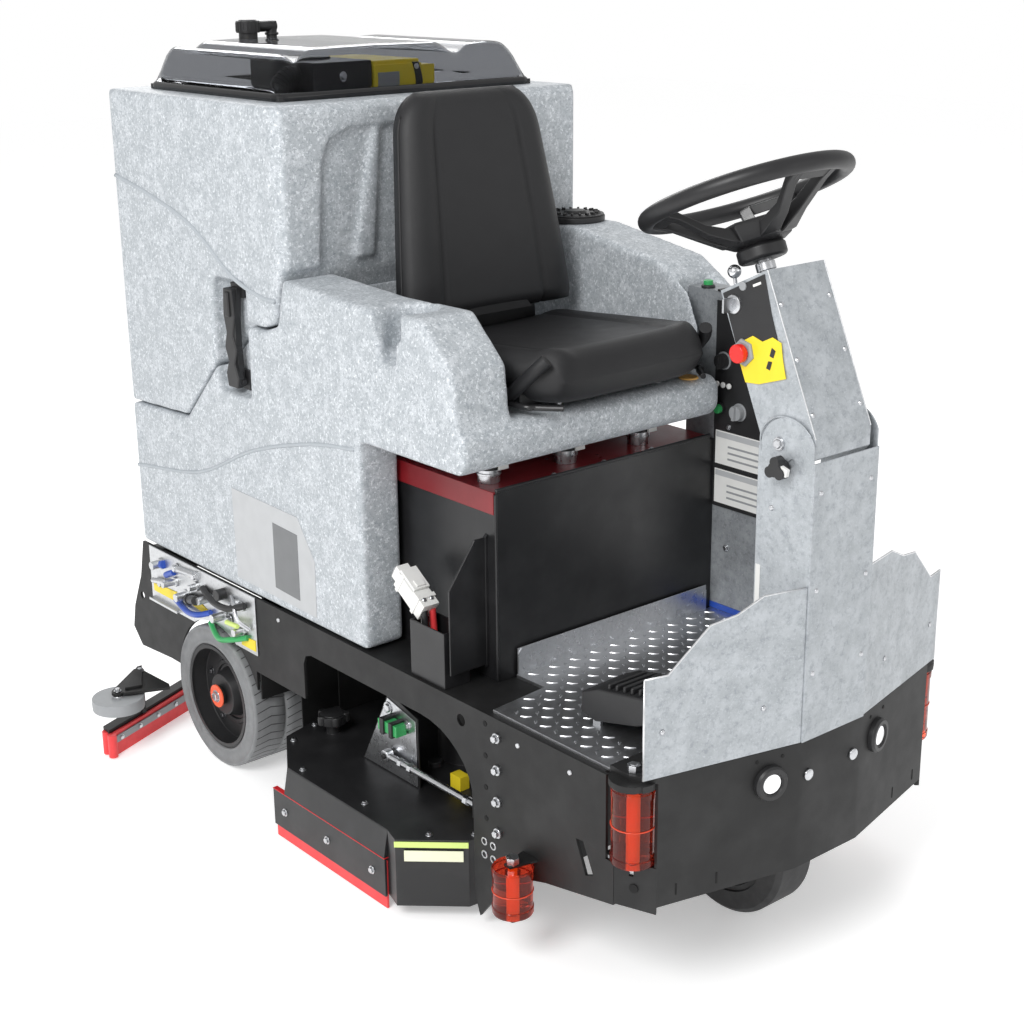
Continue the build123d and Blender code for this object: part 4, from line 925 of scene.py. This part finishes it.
def rear_tyre(side, name):
    """The grey tyre: flat side and dished face, with thin dark strips across its tread that are painted shade
    for its grooves.
    """
    tyre = Piece("rear_tyre_form_" + name, "rear_wheel_" + name, "grey_tyre")
    lines = [(371, 116), (371, 122), (368.5, 124), (368.5, 146), (371, 148), (371, 150.5), (369, 154),
             (365, 155), (345, 155), (322, 155), (301, 155), (299.5, 152), (296.5, 152), (295, 155),
             (274, 155), (250, 155), (231, 155), (227, 154), (225, 150), (225, 116)]
    tyre.rings([[(side * x, REAR_Y + radius * across, REAR_R + radius * over) for x, radius in lines]
                for across, over, _ in around(144)], loop=True)
    form = tyre.done(0)
    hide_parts("rear_tyre_" + name)
    hub = Piece("rear_hub_" + name, "rear_wheel_" + name, "plastic")
    out = OUTWARD[side]
    way = Vector((side, 0, 0))
    hub.lathe(hoop(104, 112, 0, 3), (side * 367, REAR_Y, REAR_R), way, 64, True)
    hub.lathe([(60, 0), (72, 0), (70, 4), (62, 4)], (side * 330, REAR_Y, REAR_R), way, 48, True)
    hub.use("hub_ring")
    hub.lathe([(13, 0), (25, 0), (24.5, 3.4), (13, 3.4)], (side * 368.2, REAR_Y, REAR_R), way, 40, True)
    hub.use("steel").bolt((side * 370.5, REAR_Y, REAR_R), out, 10, 6, 2)
    # Dark strips across the tread: painted shade in place of cut grooves.
    hub.use("groove_shade")
    for low, high, lead in ((230, 294, 0.0), (301, 366, 0.5)):
        for across, over, _ in around(48, lead=lead):
            way_out = Vector((0, across, over))
            along = Vector((0, -over, across))
            groove_shade = []
            for x, shift in ((low, 0), ((low + high) / 2, 7), (high, 0)):
                centre = Vector((side * x, REAR_Y, REAR_R)) + along * shift
                groove_shade.append([centre + way_out * reach + along * wide for reach, wide in
                               ((152, -1.2), (155.2, -1.2), (155.2, 1.2), (152, 1.2))])
            hub.rings(groove_shade)
    for y, up, _ in around(5, 84, (REAR_Y, REAR_R), 0.3):
        hub.use("dark_steel").bolt((side * 331, y, up), out, 6, 5)
    hub.done(0.5)


def drive_wheel_details():
    """The bolts and the pressed ring on the drive wheel's outer face."""
    hub = Piece("drive_hub_bolts", "drive_wheel", "steel")
    for y, up, _ in around(10, 62, (DRIVE_Y, DRIVE_R)):
        hub.bolt((-14, y, up), "x", 6.5, 6, 1.5)
    hub.use("dark_steel").lathe(hoop(74, 90, 0, 4), (-20, DRIVE_Y, DRIVE_R), "x", 48, True)
    hub.done(0.4)


def rollers():
    """Moulded seam rings and a glowing orange core for each bumper roller, the core's glow a painted
    highlight, and the side roller's nut.
    """
    for side, name in SIDES:
        for kind, x, y, low, high, radius in (("corner", 346, 692, 287, 420, 37),
                                              ("side", 400, 460, 110, 197, 36)):
            rings_and_glow = Piece(kind + "_roller_rings_" + name, kind + "_roller_" + name, "urethane_rim")
            seam = ((-3, -1), (-0.4, -1), (0, 0), (-0.4, 1), (-3, 1))
            middle = (side * x, y, (low + high) / 2)
            rings_and_glow.lathe([(radius + inward, up) for inward, up in seam], middle, "z", 56, True)
            # A thin glowing rod inside the roller: a painted highlight of light caught in the urethane.
            rings_and_glow.use("painted_highlight_core").lathe(hoop(5, 8, 2, high - low - 2), (side * x, y, low), loop=True)
            rings_and_glow.done(0)
        nut = Piece("side_roller_nut_" + name, "chassis", "plastic")
        nut.lathe([(0, 0), (12, 0), (14, 3), (14, 14), (0, 14)], (side * 400, 460, 94), "z", 6)
        nut.done(0.6)


# Floor plate, pedal and battery area ----------------------------------------------------------

def inside(point, outline):
    """Whether a point lies within an outline."""
    x, y = point
    hit = False
    for (x0, y0), (x1, y1) in zip(outline, outline[1:] + outline[:1]):
        if (y0 > y) != (y1 > y) and x < (x1 - x0) * (y - y0) / (y1 - y0) + x0:
            hit = not hit
    return hit


def tread_pattern():
    """Raised lozenges on the floor plate, turned one way and the other in turn."""
    tread = Piece("tread_pattern", "chassis", "tread")
    keep = [(210, 280), (206, 352), (338, 364), (338, 630), (296, 690), (70, 756), (-70, 756),
            (-296, 690), (-338, 630), (-338, 412), (-258, 408), (-258, 280)]
    pitch = 25.0
    for row in range(-1, 21):
        for column in range(-14, 15):
            centre = (column * pitch, 285 + row * pitch)
            under_pedal = 150 <= centre[0] < 262 and 500 < centre[1] < 665
            under_column = abs(centre[0]) < 88 and centre[1] > 674
            if under_pedal or under_column or not inside(centre, keep):
                continue
            angle = 45 if (row + column) % 2 else -45
            tread.stand((centre[0], centre[1], 430), ("Z", angle))
            tread.rings([[(-11, 0, -0.3), (0, -3.4, -0.3), (11, 0, -0.3), (0, 3.4, -0.3)],
                         [(-8.5, 0, 1.5), (0, -2.0, 1.7), (8.5, 0, 1.5), (0, 2.0, 1.7)]])
    tread.stand((0, 0, 0))
    tread.use("steel").slab([(-256, 429), (222, 429), (222, 470), (212, 481), (-246, 481), (-256, 470)],
                            "y", 268, 269.6)
    tread.done(0.3, 1)


def pedal():
    """The faceted pedal cover, and the small foot rest near the tower."""
    cover = Piece("pedal_cover", "drive_pedal", "plastic")
    cover.rings([[(154, 470, 440), (256, 470, 440), (254, 470, 476), (158, 470, 480)],
                 [(150, 510, 436), (260, 510, 436), (256, 512, 494), (156, 512, 500)],
                 [(150, 610, 462), (262, 610, 462), (258, 616, 512), (154, 616, 520)],
                 [(158, 664, 486), (256, 664, 486), (252, 668, 510), (162, 668, 516)]])
    for step in range(6):
        y = 528 + 18 * step
        up = 501 + 0.19 * (y - 512)
        cover.box(164, 250, y, y + 7, up - 8, up + 4)
    cover.done(3.0, 3)
    rest = Piece("foot_rest", "chassis", "plastic")
    rest.slab([(446, 431), (446, 462), (470, 474), (540, 452), (556, 431)], "x", -250, -150)
    rest.done(4.0, 3)


def battery_details():
    """Folded lips, the handle, the flange's screws and the deck's rest pads."""
    box = Piece("battery_box_trim", "chassis", "box")
    box.tube([(-262, 261, 779), (0, 261, 779), (262, 261, 779)], 3.4, 12, 1)
    box.rod(3, (262.5, 260.5, 430), (262.5, 260.5, 772))
    box.slab([(262, 452), (268, 452), (268, 690), (262, 696)], "y", 231, 237.5)
    box.box(262, 270, 90, 236, 448, 454)
    for x in (214, 35, -146):
        tab = [(x - 11, 800), (x + 11, 800), (x + 9, 822), (x - 9, 822)]
        box.use("white_plastic").slab(tab, "y", 222, 226)
        pad = x + 14
        box.use("plastic").lathe([(0, 0), (20, 0), (20, 5), (17, 7), (0, 7)], (pad, 201, 800), "z", 32)
        box.use("steel").lathe(hoop(20.2, 22, 0, 4), (pad, 201, 790), "z", 32, True)
    box.use("steel")
    for x in (-120, 0, 120):
        box.bolt((x, 250, 776), "z", 4, 2.6)
    box.done(0.8)
    plug = Piece("connector_details", "chassis", "white_plastic")
    plug.stand((326, 112, 566), ("X", -34))
    plug.box(-17, 17, -42, 6, 16, 24).box(-9, 9, -12, 2, 22, 27)
    for y in (-34, 18):
        plug.box(-19, 19, y, y + 8, -20, 21)
    for side in (1, -1):
        plug.use("steel").bolt((side * 8, 28, 18), "z", 3.5, 2)
        plug.use("grey_plastic").box(*between(side, 2, 12), -61, -57, -8, 8)
    plug.stand((0, 0, 0)).use("red_rubber").tube([(317, 146, 545), (317, 150, 500), (320, 156, 440)], 6.6)
    plug.use("plastic").tube([(335, 146, 545), (335, 150, 500), (333, 158, 440)], 6.6)
    plug.done(1.0)


# Bumper, splash and side plates ---------------------------------------------------------------

SWEEP = 13.5


def bumper_face(x):
    """How far forward the bumper's swept face is at a distance from the middle."""
    return 797 - (x - 77) * 62 / 258


def bumper_details():
    """Lamp bezels and lenses, slits, holes and small fasteners on the front."""
    front = Piece("bumper_fittings", "chassis", "plastic")
    bezel = [(19, 0), (30, 0), (30, 8), (27, 12), (21, 12), (19, 8)]
    lens = [(0, 4), (19.2, 4), (19.2, 7), (14, 10), (0, 11.5)]
    for side in (1, -1):
        front.stand((side * 133, 783, 387), ("Z", side * -SWEEP))
        front.use("plastic").lathe(bezel, along="y", segments=48, loop=True)
        front.use("lens").lathe(lens, along="y")
        front.stand((0, 0, 0)).use("steel")
        front.lathe([(0, 0), (10, 0), (10, 3.4), (8, 5), (0, 5.6)], (side * 56, 797.2, 381), "y", 24)
    # Slits and holes drawn as black patches: painted shade in place of openings.
    front.use("hole_shade")
    for side, x in ((1, 226), (1, 300), (-1, 218), (-1, 300)):
        front.stand((side * x, bumper_face(x), 240), ("Z", side * -SWEEP)).box(-1.6, 1.6, -1, 0.8, -10, 10)
    for side in (1, -1):
        for x in (110, 158):
            front.stand((side * x, bumper_face(x), 428), ("Z", side * -SWEEP))
            front.lathe(hoop(0, 3.2, 0, 0.9), along="y", segments=20)
        front.stand((side * 349, 698, 240), ("Z", side * -70))
        front.lathe(hoop(0, 8, 0, 1.6), along="y", segments=24)
    front.done(0.4)
    sides = Piece("cheek_fittings", "chassis", "hole_shade")
    for side in (1, -1):
        out = Vector((side, 0, 0))
        for step in range(4):
            # Black discs: painted shade in place of the small holes.
            sides.use("hole_shade").lathe(hoop(0, 5, 0, 0.8), (side * 361, 344, 405 - 60 * step), out, 20)
            sides.use("steel").bolt((side * 364, 377, 390 - 60 * step), OUTWARD[side], 7, 7, 1.6)
        for y, up in ((338, 178), (362, 178), (338, 152), (362, 152)):
            sides.lathe([(5, 0), (8, 0), (7.5, 1.6), (5, 1.6)], (side * 361, y, up), out, 24, True)
        for y, up in ((430, 395), (560, 395), (-300, 400), (-760, 390)):
            sides.lathe([(0, 0), (5, 0), (4, 2), (0, 2.6)], (side * 361, y, up), out, 20)
        sides.use("powder").box(*between(side, 170, 300), -329, -326, 122, 352)
    sides.done(0.4)
    # Pale strips along the splash's crest and side edge: a painted highlight on its bends.
    splash = Piece("splash_edge_highlights", "chassis", "edge_highlight")
    crest = [(361, 727.6, 612), (321, 737.2, 612), (249, 754.4, 679), (202, 765.8, 687), (156, 776.8, 709),
             (80, 795, 709)]
    for side in (1, -1):
        splash.tube(on_side(side, crest), 1.7, 8, 1)
        splash.rod(1.7, (side * 361, 727.6, 444), (side * 361, 727.6, 612))
        splash.use("steel")
        for x, up in ((150, 520), (330, 520)):
            y = 797 - (x - 77) * 68 / 284
            splash.stand((side * x, y, up), ("Z", side * -SWEEP))
            splash.lathe([(0, 0), (5, 0), (3.6, 2), (0, 2.6)], along="y", segments=16)
        splash.stand((0, 0, 0)).use("edge_highlight")
    splash.done(0)


# Scrub deck -----------------------------------------------------------------------------------

BRUSH_X = 224
BRUSH_Y = 20
KNOB_X = 289
KNOB_Y = -232


def deck_details():
    """The deck's pinstripe, bolts, catch, bracket face, corner strip and skirt screws."""
    deck = Piece("deck_fittings", "deck", "red_paint")
    for side in (1, -1):
        out = OUTWARD[side]
        deck.use("red_paint").box(*between(side, 446, 457), -200, 168, 103.6, 105.4)
        face = [(440, 158.5), (446.5, 158.5), (456.6, 105.6), (440, 105.6)]
        deck.use("deck").slab(on_side(side, face), "y", -160, 167)
        deck.use("steel")
        for y in (-160, -16, 128):
            deck.bolt((side * 456, y, 66), out, 6, 4, 1.6)
        for x, y in ((402, 232), (340, 284), (430, -130), (372, -250), (300, -282), (420, 60)):
            deck.bolt((side * x, y, 160), "z", 5, 4)
        deck.slab([(-96, 162), (-12, 316), (74, 296), (76, 162)], "x", *between(side, 308, 309.6))
        deck.bolt((side * 309.6, -10, 296), out, 9, 4, 2).bolt((side * 309.6, 50, 280), out, 7, 4, 2)
        deck.use("green").box(*between(side, 312, 336), -8, 50, 262, 284)
        deck.use("plastic").box(*between(side, 309, 340), 2, 14, 258, 290)
        deck.box(*between(side, 309, 340), 30, 40, 258, 288)
        strip = [(459.4, 204), (461, 206), (364, 296), (362, 294.6)]
        deck.use("lime").slab(on_side(side, strip), "z", 146, 157)
        plate = [(448, 218), (449.6, 219.6), (372, 291.5), (370.6, 289.8)]
        deck.use("cream").slab(on_side(side, plate), "z", 120, 141)
        deck.use("yellow").box(*between(side, 236, 258), 110, 140, 160, 188)
        deck.use("plastic").lathe([(0, 0), (24, 0), (24, 3), (18, 6), (0, 6)], (side * KNOB_X, KNOB_Y, 199))
        for x, y, _ in around(5, 25, (side * KNOB_X, KNOB_Y)):
            deck.lathe([(0, 0), (9, 0), (9, 15), (7, 18), (0, 18)], (x, y, 184), segments=20)
        deck.lathe(hoop(50, 58, 0, 8), (side * 146, 20, 286), loop=True)
        deck.lathe([(0, 0), (54, 0), (44, 14), (0, 16)], (side * 146, 20, 300))
    deck.done(0.8)
    for side, name in SIDES:
        tufts = Piece("bristles_" + name, "brush_" + name, "bristle")
        random.seed(7 + side)
        middle = Vector((side * BRUSH_X, BRUSH_Y, 0))
        for reach, count in ((206, 120), (190, 96), (170, 60)):
            for step in range(count):
                angle = math.tau * (step + 0.3 * random.random()) / count
                way = Vector((math.cos(angle), math.sin(angle), 0))
                lean = 1 + 0.02 * random.random()
                top = middle + reach * way + Vector((0, 0, 60))
                tip = middle + reach * lean * way + Vector((0, 0, 1))
                tufts.lathe([(2.2, 0), (3.4, (tip - top).length)], top, tip - top, 6)
        tufts.done(0)
    link = Piece("link_collars", "deck_link", "steel")
    for y in (40, 70, 236):
        link.lathe(hoop(0, 9.5, 0, 10), (322, y, 205), "y", 6)
    link.lathe([(10, -8), (12, -7), (12, 7), (10, 8), (5.4, 8), (5.4, -8)], (322, 0, 205), "x", 32, True)
    link.done(0.5)


# Squeegee -------------------------------------------------------------------------------------

def squeegee_details():
    """Clamp strips, thumb screws and end caps along the squeegee, and its guard wheels."""
    strip = Piece("squeegee_fittings", "squeegee", "grey_plastic")
    line = [(536, -733), (306, -829), (140, -902), (60, -936)]
    for side in (1, -1):
        for (x0, y0), (x1, y1) in zip(line, line[1:]):
            strip.use("grey_plastic")
            for near, far in ((12.2, 15), (-24.2, -27)):
                band = [(x0, y0 + near), (x1, y1 + near), (x1, y1 + far), (x0, y0 + far)]
                strip.slab(on_side(side, band), "z", 30, 46)
            count = max(1, int(math.hypot(x1 - x0, y1 - y0) / 60))
            strip.use("steel")
            for step in range(count):
                part = (step + 0.5) / count
                x, y = x0 + (x1 - x0) * part, y0 + (y1 - y0) * part
                strip.bolt((side * x, y + 15, 38), "y", 4.5, 3.4, 1.2)
                strip.bolt((side * x, y - 27, 38), "-y", 4.5, 3.4, 1.2)
        for y in (-722, -746):
            strip.use("red_rubber").rod(10, (side * 534, y, 2), (side * 534, y, 54))
        bracket = [(505, -700), (430, -786), (418, -786), (470, -690)]
        strip.use("powder").slab(on_side(side, bracket), "z", 157, 163)
        strip.use("steel").bolt((side * 430, -772, 157), "z", 7, 5, 1.6)
        strip.bolt((side * 520, -705, 158), "z", 6, 5, 1.6)
        cap = [(0, 0), (24, 0), (20, 16), (12, 22), (0, 22)]
        strip.use("plastic").lathe(cap, (side * 86, -884, 64), "z", 8)
    strip.done(0.6)
    for side, name in SIDES:
        wheel = Piece("guard_wheel_rings_" + name, "squeegee_wheel_" + name, "grey_plastic")
        place = (side * 520, -705, 0)
        rim = [(34, 145), (52, 145), (55, 142), (55.6, 133), (55, 124), (52, 121), (34, 121)]
        wheel.lathe(rim, place, "z", 56, True)
        wheel.use("steel").lathe([(8, 144), (13, 144), (12, 149), (8, 149)], place, "z", 24, True)
        wheel.done(1.0)


# Service tray ---------------------------------------------------------------------------------

def service_tray():
    """Drain hoses, valves and handles in the panel above the right rear wheel."""
    tray = Piece("service_fittings", "chassis", "tray")
    tray.slab([(-810, 300), (-690, 300), (-690, 306), (-810, 306)], "x", 361, 374)
    tray.use("yellow").slab([(-800, 322), (-716, 322), (-700, 346), (-800, 340)], "x", 364, 366)
    tray.slab([(-440, 306), (-386, 306), (-386, 330), (-436, 326)], "x", 364, 366)
    tray.slab([(-640, 336), (-590, 330), (-560, 338), (-600, 352)], "x", 364, 366)
    tray.use("blue").rod(9, (368, -770, 392), (368, -742, 398)).rod(7, (368, -736, 376), (368, -700, 392))
    tray.tube([(368, -700, 330), (376, -640, 322), (380, -590, 330), (370, -550, 344)], 6.5)
    tray.use("plastic").rod(10, (366, -650, 345), (394, -566, 372))
    tray.rod(13, (370, -640, 348), (374, -625, 353))
    tray.tube([(368, -580, 390), (380, -520, 380), (384, -460, 384), (370, -410, 400)], 7)
    tray.rod(12, (364, -500, 400), (384, -500, 400))
    tray.use("green").tube([(366, -560, 318), (384, -500, 306), (384, -450, 318), (368, -410, 330)], 6)
    tray.use("lime").rod(5, (380, -470, 350), (384, -420, 356))
    tray.use("steel").rod(8, (366, -700, 402), (366, -600, 410)).rod(6, (372, -790, 350), (372, -730, 362))
    for y, up in ((-690, 404), (-610, 408), (-480, 350), (-430, 392), (-760, 350)):
        tray.bolt((366, y, up), "x", 8, 8, 2)
    tray.tube([(366, -470, 402), (378, -440, 396), (384, -420, 370), (368, -400, 350)], 4.5)
    tray.done(0.8)


# Lid ------------------------------------------------------------------------------------------

def lid_dome():
    """The clear dome: a middle hump between two lobes, falling to the rim in smooth curves."""
    profile = [(-297, 0), (-286, 44), (-262, 72), (-230, 76), (-178, 74), (-150, 58), (-128, 60),
               (-96, 80), (60, 82), (196, 80), (222, 62), (240, 56), (258, 72), (272, 72), (286, 44),
               (297, 0)]

    def over(x):
        for (x0, h0), (x1, h1) in zip(profile, profile[1:]):
            if x <= x1:
                return h0 + (h1 - h0) * (x - x0) / (x1 - x0)
        return 0

    dome = Piece("lid_dome_form", "lid", "lid")
    grid = []
    wide, deep = 90, 64
    for row in range(deep + 1):
        y = -765 + 466 * row / deep
        edge = min(1.0, (y + 765) / 44, (-299 - y) / 46)
        rise = 1 - (1 - max(0.0, edge)) ** 2.4
        for column in range(wide + 1):
            x = -297 + 594 * column / wide
            high = sum(over(max(-297, min(297, x + d))) for d in (-9, -4.5, 0, 4.5, 9)) / 5
            high = high if abs(x) < 285 else over(x)
            grid.append((x, y, 1404 + high * rise))
    faces = []
    for row in range(deep):
        for column in range(wide):
            low = row * (wide + 1) + column
            faces.append((low, low + 1, low + wide + 2, low + wide + 1))
    dome.solid(grid, faces)
    made = dome.done(0)
    made.data.polygons.foreach_set("use_smooth", [True] * len(faces))
    shell = made.modifiers.new("shell", "SOLIDIFY")
    shell.thickness = 3 * MM
    shell.offset = -1
    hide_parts("lid_dome")


HOSE_BEND = 38.0


def lid_details():
    """The lid's rolled edge, clips and vent ribs, and the parts seen through it."""
    rim = Piece("lid_rim", "lid", "lid_black")
    corner = 26
    path = []
    for x, y, start in ((274, -322, 0), (-274, -322, 90), (-274, -742, 180), (274, -742, 270)):
        for step in range(7):
            angle = math.radians(start + 15 * step)
            path.append((x + corner * math.cos(angle), y + corner * math.sin(angle)))
    rings = []
    for x, y in path:
        way = Vector((x, y + 532, 0)).normalized()
        base = Vector((x, y, 0))
        rings.append([base + way * out + Vector((0, 0, up))
                      for out, up in ((-14, 1395), (3, 1395), (6, 1399), (5, 1405), (0, 1409), (-14, 1409))])
    rim.rings(rings, loop=True)
    rim.done(0)
    vent = Piece("vent_ribs", "lid", "plastic")
    for _, _, angle in around(20):
        vent.stand((108, -700, 1499), ("Z", math.degrees(angle))).box(21, 25, -1.6, 1.6, 0, 18)
    vent.stand((0, 0, 0)).lathe([(0, 0), (20, 0), (17, 3), (0, 3)], (108, -700, 1519.2), "z", 32)
    vent.lathe([(12, 0), (14, 1), (14, 5), (12, 6)], (52, -700, 1490), "z", 32, True)
    vent.done(0.6)
    inside_lid = Piece("suction_fittings", "tanks", "plastic")
    for step in range(9):
        angle = math.radians(10 * step)
        x = 197 + HOSE_BEND * math.sin(angle)
        up = 1394 + HOSE_BEND * math.cos(angle)
        way = Vector((math.cos(angle), 0, -math.sin(angle)))
        inside_lid.lathe([(18.5, -1.6), (21, -1.2), (21, 1.2), (18.5, 1.6)], (x, -400, up), way, 28, True)
    inside_lid.use("yellow").box(-84, -50, -540, -333, 1398, 1442).box(-52, 60, -339, -333, 1398, 1446)
    inside_lid.use("grey_plastic").box(2, 52, -335, -331, 1402, 1432)
    inside_lid.use("plastic").slab([(-44, 1398), (-60, 1398), (-44, 1448), (-30, 1448)], "y", -335, -330)
    inside_lid.use("steel").bolt((129, -338, 1430), "y", 6, 4).bolt((-38, -330, 1440), "y", 4, 3)
    inside_lid.done(0.6)


make_camera()
make_studio()
dress_nodes()
dress_tanks()
seat_back()
seat_cushion()
steering_wheel()
column_details()
tower_details()
rear_tyre(1, "right")
rear_tyre(-1, "left")
drive_wheel_details()
rollers()
tread_pattern()
pedal()
battery_details()
bumper_details()
deck_details()
squeegee_details()
service_tray()
lid_dome()
lid_details()
